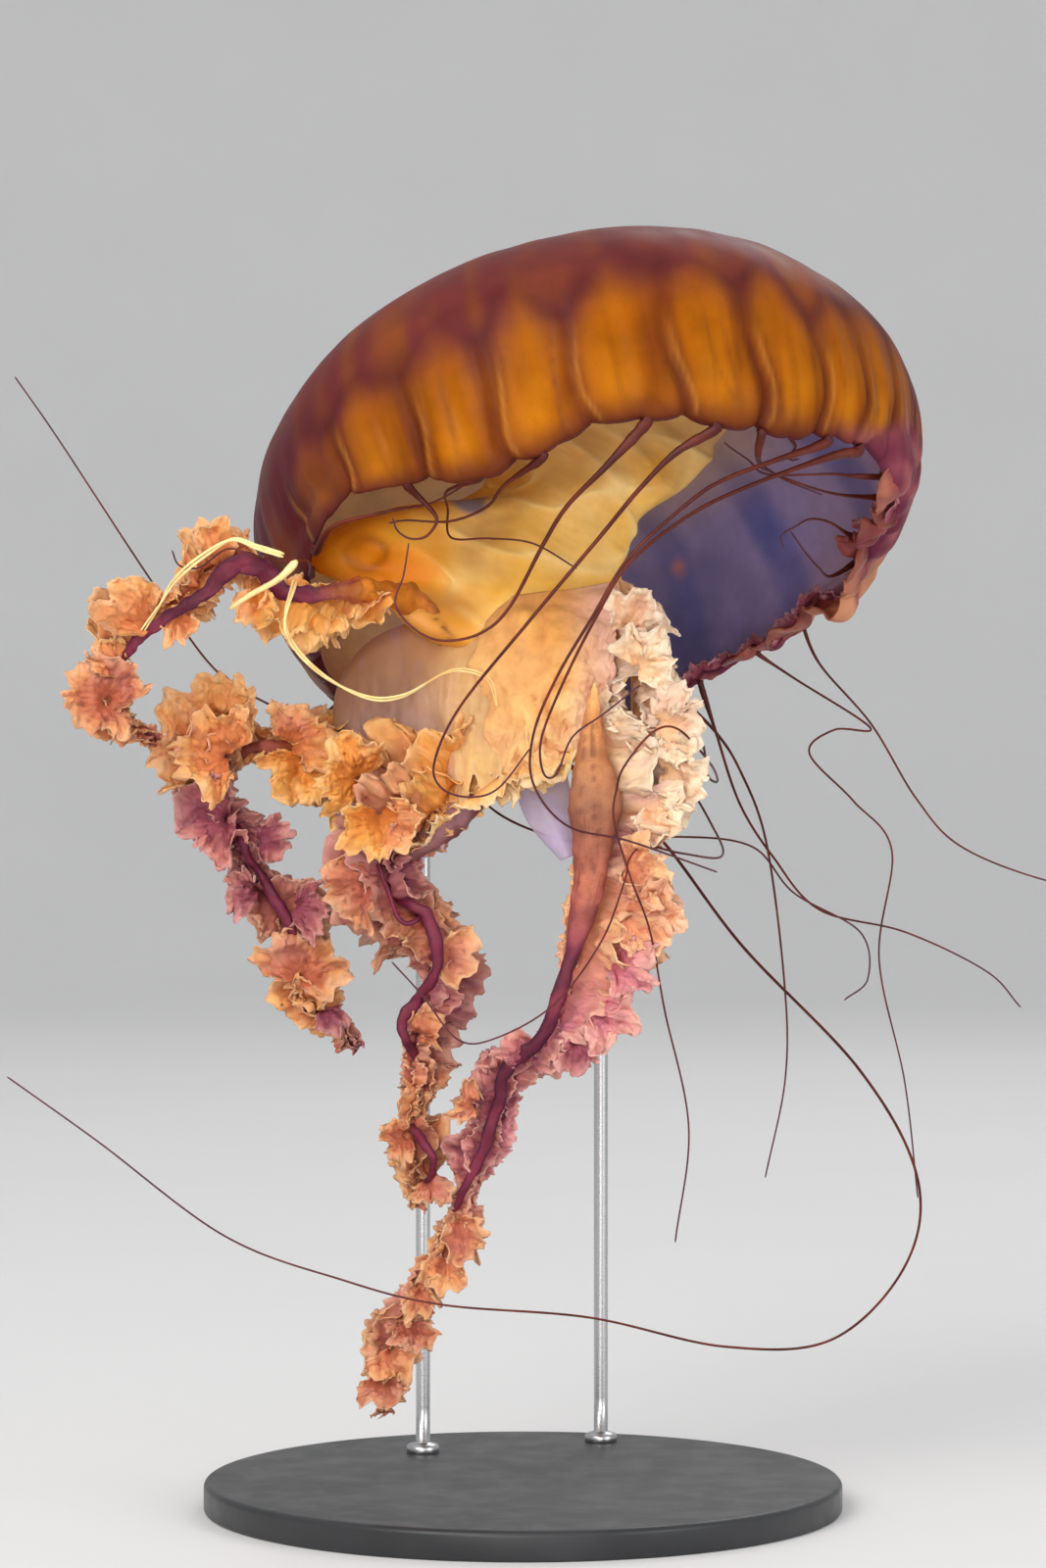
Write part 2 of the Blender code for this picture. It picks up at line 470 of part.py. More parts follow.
def margin_root(degrees, radius):
    """A place just clear of the margin's edge, where a tentacle starts."""
    phi = np.array([math.radians(degrees)])
    edge = bell_local(phi, np.array([1.0]))
    edge = (edge + bell_inner(phi, np.array([1.0]))) / 2
    edge[:, 2] -= LAPPET_LENGTH * (0.5 - 0.5 * np.cos(LAPPETS * phi)) + 0.0009 + 1.15 * radius
    return tuple(tip_over(edge)[0])


def tentacles():
    for name, degrees, radius, cuts, points in TENTACLES:
        radius = radius / 1000
        path = [margin_root(degrees, radius)] + list(points)
        strand("tentacle_" + name, path, radius, TENTACLE_TIP, cuts, 4, COLOURS["tentacle"])


def lobe():
    """The rounded orange lobe, as a lumpy ball."""
    rings, columns = 7, 14
    points = [tuple(np.array(LOBE_CENTRE) + (0, 0, LOBE_RADII[2]))]
    for i in range(1, rings):
        a = math.pi * i / rings
        for j in range(columns):
            b = 2 * math.pi * j / columns
            lump = 1 + 0.05 * math.cos(3 * b + i)
            x = LOBE_RADII[0] * math.sin(a) * math.cos(b) * lump
            y = LOBE_RADII[1] * math.sin(a) * math.sin(b) * lump
            points.append(tuple(np.array(LOBE_CENTRE) + (x, y, LOBE_RADII[2] * math.cos(a))))
    points.append(tuple(np.array(LOBE_CENTRE) - (0, 0, LOBE_RADII[2])))
    faces = []
    for j in range(columns):
        faces.append((0, 1 + j, 1 + (j + 1) % columns))
        last = 1 + (rings - 2) * columns
        faces.append((len(points) - 1, last + (j + 1) % columns, last + j))
    for i in range(rings - 2):
        for j in range(columns):
            a, b = 1 + i * columns + j, 1 + i * columns + (j + 1) % columns
            faces.append((a, a + columns, b + columns, b))
    add_solid("orange_lobe", points, faces, COLOURS["lobe"])


def stand_base():
    """A round plate with its top edge rounded over."""
    columns = 48
    profile = [(BASE_RADIUS, 0.0), (BASE_RADIUS, BASE_HEIGHT - BASE_EDGE)]
    for angle in (30, 60, 90):
        a = math.radians(angle)
        profile.append((BASE_RADIUS - BASE_EDGE * (1 - math.cos(a)),
                        BASE_HEIGHT - BASE_EDGE * (1 - math.sin(a))))
    points = []
    for r, z in profile:
        for j in range(columns):
            b = 2 * math.pi * j / columns
            points.append((r * math.cos(b), r * math.sin(b), z))
    add_solid("stand_base", points, tube_faces(len(profile), columns), COLOURS["stand"], 0.45)


def stand_rods():
    """Two plain upright rods, from the base to the underside of the bell's rear wall."""
    sides = 12
    for name, degrees, u in ROD_PLACES:
        phi = np.array([math.radians(degrees)])
        place = np.array([u])
        outer = tip_over(bell_local(phi, place))[0]
        inner = tip_over(bell_inner(phi, place))[0]
        outward = (outer - inner) / np.linalg.norm(outer - inner)
        centre = outer + outward * (ROD_RADIUS + GAP)
        points = []
        heights = [(BASE_HEIGHT + GAP, 1.0), (centre[2], 1.0)]
        heights += [(centre[2] + ROD_RADIUS * math.sin(math.radians(a)), math.cos(math.radians(a)))
                    for a in (30, 55, 75)]
        for z, part in heights:
            for j in range(sides):
                b = 2 * math.pi * j / sides
                points.append((centre[0] + ROD_RADIUS * part * math.cos(b),
                               centre[1] + ROD_RADIUS * part * math.sin(b), z))
        add_solid(name, points, tube_faces(len(heights), sides), COLOURS["rod"], 0.25, 1.0)


def build():
    clear_scene()
    bell()
    manubrium()
    lobe()
    for seed, (name, rows, cuts, thick) in enumerate(ARMS):
        band(name, rows, cuts, thick, COLOURS["arm"], seed)
    band("arm_right_crescent", CRESCENT, (), 0.0012, COLOURS["crescent"])
    band("arm_right_collar", COLLAR, (), 0.0060, COLOURS["frill"])
    tentacles()
    for name, radius, points in FILAMENTS:
        strand(name, points, radius / 1000, 0.0005, (), 5, COLOURS["filament"])
    stand_base()
    stand_rods()


build()
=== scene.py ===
import itertools
import math

import bpy
import numpy as np
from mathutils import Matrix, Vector


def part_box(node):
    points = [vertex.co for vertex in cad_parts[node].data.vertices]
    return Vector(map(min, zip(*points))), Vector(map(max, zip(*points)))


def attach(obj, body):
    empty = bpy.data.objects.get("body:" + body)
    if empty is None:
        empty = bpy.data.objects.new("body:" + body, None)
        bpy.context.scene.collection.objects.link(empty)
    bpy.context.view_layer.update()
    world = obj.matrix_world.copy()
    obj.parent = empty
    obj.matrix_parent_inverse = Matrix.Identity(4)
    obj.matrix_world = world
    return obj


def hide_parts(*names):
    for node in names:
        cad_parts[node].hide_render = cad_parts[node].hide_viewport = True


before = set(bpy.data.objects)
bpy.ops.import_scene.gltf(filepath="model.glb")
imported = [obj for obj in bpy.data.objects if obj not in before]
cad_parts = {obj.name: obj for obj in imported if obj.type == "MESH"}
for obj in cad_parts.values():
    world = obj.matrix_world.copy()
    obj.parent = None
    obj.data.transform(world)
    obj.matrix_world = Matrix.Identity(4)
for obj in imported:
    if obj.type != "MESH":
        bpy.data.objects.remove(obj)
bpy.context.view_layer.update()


def metres(table):
    """A table of millimetres as an array of metres."""
    return np.array(table, float) / 1000


# The driving dimensions below are the CAD model's own, so that the skin lies where the solids are.
# x runs to the right, y away from the front, z up. Single dimensions are in metres, and the tables
# of places and widths are in millimetres.
# ---- bell ----
BELL_RADIUS = 0.138       # at the widest ring
CROWN_HEIGHT = 0.076      # from the widest ring up to the crown
BELL_CENTRE = (0.027, 0.0, 0.415)
TIP_BACK = math.radians(30)
TIP_SIDE = math.radians(14)
CROWN_PART = 0.6          # share of the meridian that lies above the widest ring
CROWN_WALL = 0.0065
MARGIN_WALL = 0.0016
# depth of the skirt under the widest ring, and how far the margin draws in,
# at every 22.5 degrees from the right-hand side by way of the rear
SKIRT_DEPTH = metres((44, 37, 32, 32, 36, 41, 46, 48, 48, 45, 36, 56, 52, 55, 57, 52))
DRAW_IN = metres((30, 30, 26, 22, 16, 16, 16, 16, 16, 10, 8, 16, 20, 20, 18, 18))

# ---- manubrium: x, y, z, half width, half depth ----
MANUBRIUM = metres((
    (30, 26, 446, 52, 36), (28, 12, 420, 40, 34), (6, 2, 403, 41, 34), (-6, -12, 379, 42, 36),
    (6, -23, 356, 35, 34), (10, -30, 339, 30, 30), (0, -35, 325, 30, 24),
))

# ---- oral arms: x, y, z of the rib, then the width of the lip on each side of it ----
# Where an arm hangs straight down, its first lip is on the left and its second on the right.
ARM_LEFT = metres((
    (-31.5, -36, 352, 7, 7), (-37, -52, 358, 6, 7), (-42, -66, 365, 6, 6), (-54, -76, 368, 5, 9),
    (-70, -84, 369, 5, 17), (-83, -90, 369, 5, 25), (-93, -92, 371, 7, 22), (-102, -92, 377, 6, 13),
    (-112, -90, 382, 13, 9), (-122, -88, 379, 17, 13), (-131, -86, 370, 7, 14), (-139, -84, 365, 6, 10),
    (-147, -82, 358, 19, 6), (-154, -80, 351, 20, 5), (-158, -80, 344, 12, 6), (-161, -80, 336, 12, 11),
    (-163, -80, 328, 12, 12), (-159, -80, 319, 11, 9), (-150, -80, 315, 6, 6), (-142, -80, 311, 2, 2),
))
ARM_LOWER = metres((
    (-34, -28, 328, 8, 10), (-52, -29, 320, 12, 21), (-73, -34, 314, 12, 28), (-91, -42, 314, 12, 20),
    (-103, -48, 312, 7, 9), (-114, -51, 309, 26, 9), (-123, -52, 301, 21, 10), (-124, -50, 289, 13, 10),
    (-120, -48, 277, 12, 18), (-111, -46, 266, 9, 14), (-106, -45, 256, 11, 8), (-98, -45, 245, 14, 20),
    (-91, -45, 234, 7, 16), (-90, -45, 222, 10, 10), (-88, -45, 212, 12, 14), (-79, -45, 202, 9, 11),
    (-65, -45, 190, 2, 3),
))
ARM_CENTRE = metres((
    (-9, -46, 313, 18, 13), (-17, -56, 303, 24, 13), (-32, -63, 287, 37, 12), (-42, -63, 276, 34, 11),
    (-51, -62, 264, 25, 13), (-51, -60, 253, 23, 17), (-43, -56, 245, 24, 13), (-36, -54, 235, 19, 15),
    (-34, -52, 221, 9, 17), (-36, -50, 209, 6, 17), (-41, -48, 200, 8, 16), (-42, -46, 188, 8, 14),
    (-40, -46, 178, 10, 11), (-42, -46, 166, 9, 7), (-44, -46, 157, 8, 14), (-42, -46, 147, 11, 12),
    (-40, -46, 137, 10, 5), (-43, -46, 127, 2, 2),
))
ARM_RIGHT = metres((
    (27, -60.5, 339, 4, 6), (28, -72, 318, 7, 21), (30, -76, 301, 10, 31), (30, -76, 284, 10, 35),
    (27, -74, 269, 8, 22), (26, -72, 257, 9, 33), (22, -70, 237, 9, 32), (18, -68, 218, 6, 28),
    (13, -66, 201, 5, 21), (6, -64, 190, 7, 14), (-1, -62, 185, 12, 10), (-7, -60, 177, 16, 10),
    (-10, -58, 163, 15, 10), (-15, -56, 150, 14, 9), (-20, -54, 138, 9, 6), (-24, -52, 128, 8, 9),
    (-28, -50, 118, 8, 15), (-34, -48, 106, 8, 10), (-42, -46, 94, 8, 10), (-47, -45, 82, 12, 11),
    (-52, -45, 70, 12, 12), (-55, -45, 59, 9, 10), (-55, -45, 45, 2, 5),
))
# thin crescent beside the right arm's spindle: rows as for an arm
CRESCENT = metres((
    (6, -54, 318, 5, 6), (6, -61, 300, 7, 8), (10.5, -67, 284, 7, 7), (17.5, -71, 266, 2, 3),
))

# ---- tentacles: direction of the root on the margin in degrees, root radius in millimetres,
# points after the root ----
TENTACLES = (
    (211, 2.0, ((-73, -92, 395), (-52, -101, 400), (-36, -101, 403), (-24, -104, 409), (-18, -106, 413))),
    (236, 1.7, ((-41, -110, 406), (-36, -110, 401), (-33, -110, 396), (-37, -110, 390), (-43, -110, 389),
        (-48, -110, 392), (-50, -111, 397))),
    (261, 1.9, ((-7, -118, 409), (-14, -112, 401), (-28, -105, 396), (-45, -94, 397), (-52, -92, 396))),
    (281, 2.6, ((32, -127, 416), (17, -122, 401), (8, -116, 387), (-5, -110, 363), (-16, -108, 353),
        (-30, -106, 350), (-41, -105, 354), (-49, -105, 364), (-46, -104, 375), (-44, -100, 388))),
    (294, 2.4, ((58, -122, 421), (44, -119, 407), (29, -115, 389), (2, -110, 357), (-24, -104, 325),
        (-34, -100, 304), (-32, -98, 294), (-22, -97, 290), (-10, -97, 293), (3, -97, 309))),
    (303.5, 1.8, ((90, -110, 422), (92, -100, 418), (102, -88, 413), (117, -76, 408))),
    (318, 2.1, ((96, -106, 419), (78, -110, 412), (65, -112, 404), (41, -114, 382), (26, -113, 358),
        (13, -112, 336), (4, -111, 314), (4, -111, 295), (17, -111, 279), (41, -109, 273),
        (75, -100, 261))),
    (327, 2.3, ((120, -92, 422), (90, -100, 411), (65, -104, 399), (41, -107, 380), (28, -106, 359),
        (15, -104, 333), (7, -102, 312), (8, -101, 299), (13, -101, 299), (19, -102, 313),
        (31, -103, 322), (45, -103, 333))),
    (341, 1.6, ((129, -68, 416), (120, -78, 416), (95, -90, 415), (87, -98, 420), (80, -106, 424),
        (77, -110, 426))),
    (350, 1.7, ((127, -58, 409), (114, -70, 411), (98, -80, 416), (90, -86, 419))),
    (11, 1.7, ((132, -14, 396), (123, -30, 400), (115, -36, 401), (109, -40, 398), (103, -42, 394),
        (104, -42, 389))),
    (22.5, 1.5, ((126, 6, 380), (120, -8, 383), (114, -16, 389), (108, -20, 397))),
    (48, 1.2, ((125, 62, 346), (147, 60, 320), (165, 52, 289), (183, 45, 269), (217, 30, 255),
        (253, 15, 249))),
    (62, 1.2, ((116, 83, 340), (148, 80, 319), (132, 70, 318), (121, 64, 308), (139, 58, 288),
        (155, 54, 267), (149, 46, 222), (159, 38, 171), (164, 32, 123))),
    (76, 1.4, ((82, 82, 318), (92, 76, 287), (106, 68, 264), (125, 60, 242), (160, 48, 233),
        (193, 38, 217), (207, 34, 202))),
    (81, 1.4, ((82, 92, 318), (93, 92, 301), (104, 86, 270), (111, 74, 211), (111, 66, 171),
        (102, 58, 129))),
    (109, 1.6, ((28, 74, 295), (57, 64, 273), (92, 50, 227), (139, 26, 177), (161, 4, 135),
        (155, -16, 101), (124, -36, 73), (80, -52, 72), (26, -64, 85), (-32, -72, 91), (-71, -66, 100),
        (-118, -54, 116), (-170, -36, 152), (-208, -22, 177))),
    (119, 1.3, ((-20, 64, 295), (-6, 56, 280), (27, 44, 270), (64, 36, 273), (95, 30, 269),
        (112, 26, 250), (139, 20, 234), (142, 16, 215), (132, 14, 206))),
    (310, 1.0, ((105, -98, 425), (103, -94, 422), (104, -91, 420.5), (107, -91, 421))),
    (249, 1.3, ((-29, -114, 407), (-29, -98, 401), (-28, -83, 391), (-13, -76, 391), (4, -76, 389),
        (21, -80, 379))),
    (88, 1.3, ((74, 64, 315), (76, 20, 299), (78, -30, 296), (73, -80, 303), (60, -100, 316),
        (50, -105, 315), (39, -107, 302), (36, -104, 293), (35, -104, 281), (41, -104, 260),
        (49, -100, 238), (55, -88, 207), (65, -70, 160), (60, -60, 114))),
    (98, 1.3, ((65, 66, 299), (79, 20, 276), (79, -40, 266), (62, -86, 268), (47, -98, 271),
        (41, -99, 266), (39, -99, 257), (30, -100, 234), (12, -98, 210), (-10, -96, 197), (-25, -94, 196),
        (-39, -90, 213), (-51, -88, 226))),
    (165, 1.2, ((-86, 4, 322), (-107, 20, 329), (-129, 26, 344), (-156, 30, 382), (-193, 36, 438),
        (-212, 40, 465))),
    (206, 1.6, ((-83, -100, 381), (-91, -109, 380), (-102, -113, 382), (-113, -112, 385),
        (-124, -109, 378), (-132, -106, 379), (-135, -104, 385))),
)

# ---- loose cream filaments: number of strands, radius in millimetres, points ----
FILAMENTS = (
    (2, 1.0, ((-87, -116, 373), (-91, -110, 355), (-81, -101, 340), (-62, -93, 329), (-47, -89, 329),
        (-28, -87, 339), (-14, -87, 336), (-10, -87, 325))),
    (1, 1.6, ((-86, -121, 380), (-93, -122, 373), (-104, -119, 367), (-112, -114, 362))),
    (2, 1.1, ((-91, -121, 382), (-101, -122, 385), (-111, -121, 388), (-123, -118, 381),
        (-134, -112, 372), (-140, -106, 363), (-148, -100, 352))),
)

# ---- stand ----
BASE_RADIUS = 0.130
BASE_HEIGHT = 0.012
BASE_EDGE = 0.0025        # radius of the plate's rounded edge
ROD_RADIUS = 0.003


# ---- numbers and curves ----

def smooth(low, high, value):
    """0 below low, 1 above high, with a soft step between."""
    t = np.clip((value - low) / (high - low), 0, 1)
    return t * t * (3 - 2 * t)


def between(low, rise, fall, high, value):
    """1 between rise and fall, 0 below low and above high, with soft steps between."""
    return smooth(low, rise, value) * (1 - smooth(fall, high, value))


def hump(distance, width):
    """1 where the distance is 0, falling off softly over the width."""
    return np.exp(-(distance / width) ** 2)


def mix(a, b, t):
    """Blends two colours or vectors by t, which may be an array."""
    t = np.asarray(t)[..., None]
    return np.asarray(a) * (1 - t) + np.asarray(b) * t


def rgb(red, green, blue):
    """A linear colour from its ordinary 0 to 255 values."""
    values = np.array([red, green, blue], float) / 255
    return np.where(values <= 0.04045, values / 12.92, ((values + 0.055) / 1.055) ** 2.4)


def noise(points, seed):
    """Smooth random values from -1 to 1 at points of any shape (..., 3)."""
    points = np.asarray(points, float)
    cell = np.floor(points).astype(np.int64)
    local = points - cell
    fade = local * local * (3 - 2 * local)
    total = np.zeros(points.shape[:-1])
    for corner in itertools.product((0, 1), repeat=3):
        c = cell + np.array(corner)
        h = (c[..., 0] * 73856093) ^ (c[..., 1] * 19349663) ^ (c[..., 2] * 83492791) ^ (seed * 26544357 + 977)
        h = (h ^ (h >> 13)) * 1274126177 & 0xFFFFFFFF
        h = (h ^ (h >> 16)) * 2246822519 & 0xFFFFFFFF
        value = ((h >> 9) & 0xFFFF) / 32767.5 - 1
        weight = np.ones_like(total)
        for k in range(3):
            weight = weight * (fade[..., k] if corner[k] else 1 - fade[..., k])
        total = total + value * weight
    return total


def sheet_noise(along, down, layer, seed):
    """Smooth random values over a sheet; along and down are broadcast against each other."""
    return noise(np.stack(np.broadcast_arrays(along, down, float(layer)), -1), seed)


def noise_line(values, seed):
    """Smooth random values from -1 to 1 along a line."""
    values = np.asarray(values, float)
    return noise(np.stack([values, np.full_like(values, 0.37), np.full_like(values, 0.71)], -1), seed)


def fractal(points, seed):
    """Three octaves of noise."""
    return sum(0.5 ** k * noise(points * 2.03 ** k, seed + 7 * k) for k in range(3)) / 1.75


def smooth_rows(rows, spacing):
    """Rows of numbers made dense along a smooth curve, evenly by distance in the first three."""
    rows = np.array(rows, float)
    ends = np.vstack([2 * rows[0] - rows[1], rows, 2 * rows[-1] - rows[-2]])
    dense = []
    for i in range(1, len(ends) - 2):
        a, b, c, d = ends[i - 1:i + 3]
        for t in np.linspace(0, 1, 24, endpoint=False):
            curve = 2 * b + (c - a) * t + (2 * a - 5 * b + 4 * c - d) * t ** 2
            dense.append(0.5 * (curve + (3 * b - a - 3 * c + d) * t ** 3))
    dense.append(ends[-2])
    dense = np.array(dense)
    length = lengths(dense[:, :3])
    count = max(4, int(round(length[-1] / spacing)) + 1)
    wanted = np.linspace(0, length[-1], count)
    return np.stack([np.interp(wanted, length, dense[:, k]) for k in range(rows.shape[1])], -1)


def unit(vectors):
    """The vectors at length 1."""
    return vectors / np.maximum(np.linalg.norm(vectors, axis=-1, keepdims=True), 1e-9)


def full_turn(count):
    """Evenly spaced angles round a circle."""
    return np.arange(count) * 2 * math.pi / count


def lengths(path):
    """The distance travelled at each point of a path."""
    return np.concatenate([[0], np.cumsum(np.linalg.norm(np.diff(path, axis=0), axis=1))])


def sideways(travel):
    """The direction across a path, as seen from the front."""
    return unit(np.stack([-travel[:, 2], np.zeros(len(travel)), travel[:, 0]], -1))


def noises(points, seeds):
    """A vector of noise at each point, from three seeds."""
    return np.stack([noise(points, seed) for seed in seeds], -1)


def directions(path, reach):
    """The unit direction of travel at each point of a path, over some points on each side."""
    count = len(path)
    after = path[np.minimum(np.arange(count) + reach, count - 1)]
    before = path[np.maximum(np.arange(count) - reach, 0)]
    return unit(after - before)


def steady_frames(path):
    """Two directions across a path at each point, turning as little as possible."""
    travel = directions(path, 2)
    across = unit(np.cross(travel[0], (0.3, 1.0, 0.2)))
    first, second = [], []
    for t in travel:
        across = unit(across - t * (across @ t))
        first.append(across)
        second.append(np.cross(t, across))
    return np.array(first), np.array(second)


# ---- meshes ----

def make_object(name, points, quads, colours, uv, shader):
    """A mesh object from arrays: points, quads, a colour for each point and a map for each corner."""
    mesh = bpy.data.meshes.new(name)
    quads = np.asarray(quads, np.int32)
    mesh.vertices.add(len(points))
    mesh.vertices.foreach_set("co", np.asarray(points, np.float32).ravel())
    mesh.loops.add(quads.size)
    mesh.loops.foreach_set("vertex_index", quads.ravel())
    mesh.polygons.add(len(quads))
    mesh.polygons.foreach_set("loop_start", np.arange(0, quads.size, 4, dtype=np.int32))
    mesh.polygons.foreach_set("use_smooth", np.ones(len(quads), bool))
    mesh.update(calc_edges=True)
    layer = mesh.color_attributes.new("tint", "FLOAT_COLOR", "POINT")
    full = np.concatenate([np.asarray(colours, np.float32), np.ones((len(points), 1), np.float32)], 1)
    layer.data.foreach_set("color", full.ravel())
    coordinates = mesh.uv_layers.new(name="OFBake")
    coordinates.data.foreach_set("uv", np.asarray(uv, np.float32).ravel())
    mesh.validate()
    made = bpy.data.objects.new(name, mesh)
    bpy.context.scene.collection.objects.link(made)
    mesh.materials.append(shader)
    return made


def nodes_of(prefix):
    """The model's own nodes whose names start with prefix."""
    return [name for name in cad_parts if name.startswith(prefix)]


def hand_over(made, nodes=()):
    """The object rides the model's body and replaces the given nodes."""
    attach(made, "root")
    if nodes:
        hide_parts(*nodes)


def make_piece(patches, name, shader, nodes=()):
    """One object from closed patches, each facing outwards and with its own square of the map."""
    side = math.ceil(math.sqrt(len(patches)))
    parts = []
    count = 0
    for k, (points, quads, tint, uv) in enumerate(patches):
        quads, uv = facing_out(points, quads, uv)
        place = np.array([k % side, k // side], float)
        parts.append((points, quads + count, tint, (uv * 0.96 + 0.02 + place) / side))
        count += len(points)
    points, quads, tint, uv = (np.concatenate(column) for column in zip(*parts))
    hand_over(make_object(name, points, quads, tint, uv, shader), nodes)


def make_rings(rings, tint, name, shader, nodes):
    """One object from a closed stack of rings, which has the whole map."""
    count, columns = rings.shape[:2]
    points = rings.reshape(-1, 3)
    quads, uv = facing_out(points, *closed_rings(count, columns))
    hand_over(make_object(name, points, quads, tint.reshape(-1, 3), uv, shader), nodes)


def grid(rows, columns, low, high, start=0, wrap=False, flip=False):
    """Quads of a grid of points stored row by row, and their map over the band from low to high."""
    across = columns if wrap else columns - 1
    i, j = np.arange(rows - 1)[:, None], np.arange(across)[None]
    corners = ((0, 0), (0, 1), (1, 1), (1, 0)) if flip else ((0, 0), (1, 0), (1, 1), (0, 1))
    quads = np.stack([(i + b) * columns + (j + a) % columns for a, b in corners], -1)
    uv = np.zeros((rows - 1, across, 4, 2))
    for k, (a, b) in enumerate(corners):
        uv[:, :, k, 0] = j / across + a / across
        uv[:, :, k, 1] = low + (high - low) * (i / (rows - 1) + b / (rows - 1))
    return quads.reshape(-1, 4) + start, uv.reshape(-1, 2)


def closed_rings(rings, columns, height=0.98, corner=0.99):
    """Quads and map of a stack of rings, closed by quads across its first and last ring. The rings
    fill the map up to height, and the ends share a small square above corner."""
    quads, uv = grid(rings, columns, 0.0, height, wrap=True)
    extra = []
    for start in (0, (rings - 1) * columns):
        for k in range(columns // 2 - 1):
            face = [start + k, start + k + 1, start + columns - 2 - k, start + columns - 1 - k]
            extra.append(face[::-1] if start == 0 else face)
    square = [[0, corner], [0.01, corner], [0.01, corner + 0.01], [0, corner + 0.01]]
    closing = np.tile(square, (len(extra), 1))
    return np.concatenate([quads, np.array(extra)]), np.concatenate([uv, closing])


def leaf(middle, thickness, colours):
    """A thin closed leaf round a grid of points (rows, columns, 3); thickness may vary by point. The
    front has the lower half of the map, the back the upper half, and the edges the strip between."""
    rows, columns = middle.shape[:2]
    along = np.gradient(middle, axis=1)
    down = np.gradient(middle, axis=0)
    normal = unit(np.cross(along, down))
    half = (np.broadcast_to(thickness, (rows, columns)) / 2)[..., None]
    front, back = middle - normal * half, middle + normal * half
    size = rows * columns
    sides = (grid(rows, columns, 0.0, 0.47), grid(rows, columns, 0.53, 1.0, size, flip=True))
    quads, uv = map(list, zip(*sides))
    index = np.arange(size).reshape(rows, columns)
    edges = ((index[0, ::-1], 0.505), (index[-1], 0.51), (index[:, 0], 0.515), (index[::-1, -1], 0.52))
    for line, place in edges:
        a, b = line[:-1], line[1:]
        quads.append(np.stack([a, a + size, b + size, b], -1)[:, ::-1])
        t = np.linspace(0, 1, len(line))
        strip = np.zeros((len(line) - 1, 4, 2))
        for k, (far, up) in enumerate(((0, 0), (0, 1), (1, 1), (1, 0))[::-1]):
            strip[:, k, 0] = t[1:] if far else t[:-1]
            strip[:, k, 1] = place + 0.003 * up
        uv.append(strip.reshape(-1, 2))
    points = np.concatenate([front.reshape(-1, 3), back.reshape(-1, 3)])
    tint = np.broadcast_to(colours, middle.shape).reshape(-1, 3)
    return points, np.concatenate(quads), np.concatenate([tint, tint]), np.concatenate(uv)


def tube(path, first, second, colours, sides):
    """A closed tube: first and second are the two half-width vectors at each point of the path."""
    angle = full_turn(sides)
    ring = (path[:, None] + first[:, None] * np.cos(angle)[None, :, None]
            + second[:, None] * np.sin(angle)[None, :, None])
    start, end = path[:1, None], path[-1:, None]
    rings = np.concatenate([start + (ring[:1] - start) * 0.5, ring, end + (ring[-1:] - end) * 0.5])
    tint = np.broadcast_to(np.asarray(colours)[:, None] if np.ndim(colours) == 2 else colours, ring.shape)
    tint = np.concatenate([tint[:1], tint, tint[-1:]])
    quads, uv = closed_rings(len(rings), sides, 1.0, 0.0)
    return rings.reshape(-1, 3), quads, tint.reshape(-1, 3), uv


def facing_out(points, quads, uv):
    """Turns the faces of a closed patch outwards, by the sign of its volume."""
    a, b, c, d = (points[quads[:, k]] for k in range(4))
    volume = np.einsum("ij,ij->i", a, np.cross(b, c)).sum() + np.einsum("ij,ij->i", a, np.cross(c, d)).sum()
    if volume > 0:
        return quads, uv
    return quads[:, ::-1], uv.reshape(-1, 4, 2)[:, ::-1].reshape(-1, 2)


# ---- materials ----

FLESH_IOR = 1.38


def new_material(name, roughness, coat=0.0, coat_roughness=0.1, scatter=0.0, reach=(1.0, 0.45, 0.25),
                 scale=0.006, metallic=0.0, alpha=1.0, specular=0.5):
    """A Principled material; the values that are the same all over are set on the shader's own sockets."""
    made = bpy.data.materials.new(name)
    made.use_nodes = True
    tree = made.node_tree
    shader = tree.nodes["Principled BSDF"]
    settings = {"Roughness": roughness, "Coat Weight": coat, "Coat Roughness": coat_roughness,
                "Metallic": metallic, "Subsurface Weight": scatter, "Subsurface Radius": reach,
                "Subsurface Scale": scale, "IOR": FLESH_IOR, "Specular IOR Level": specular, "Alpha": alpha}
    for socket, value in settings.items():
        shader.inputs[socket].default_value = value
    return made, tree, shader


def node(tree, kind, **values):
    """A new node; each value is for an input of that name or, if there is none, for the node itself."""
    made = tree.nodes.new(kind)
    for key, value in values.items():
        if key in made.inputs:
            made.inputs[key].default_value = value
        else:
            setattr(made, key, value)
    return made


def noise_node(tree, coordinates, scale, detail=4.0, rough=0.55):
    """The value of a noise texture."""
    made = node(tree, "ShaderNodeTexNoise", Scale=scale, Detail=detail, Roughness=rough)
    tree.links.new(coordinates, made.inputs["Vector"])
    return made.outputs["Fac"]


def stretched(tree, source, factors):
    """Coordinates multiplied by a factor along each axis."""
    made = node(tree, "ShaderNodeMapping")
    made.inputs["Scale"].default_value = factors
    tree.links.new(source, made.inputs["Vector"])
    return made.outputs["Vector"]


def mixed(tree, kind, factor, first, second):
    """A colour mix; factor, first and second are sockets or values."""
    made = node(tree, "ShaderNodeMix", data_type="RGBA", blend_type=kind)
    for socket, value in ((made.inputs[0], factor), (made.inputs[6], first), (made.inputs[7], second)):
        if isinstance(value, bpy.types.NodeSocket):
            tree.links.new(value, socket)
        else:
            socket.default_value = value
    return made.outputs[2]


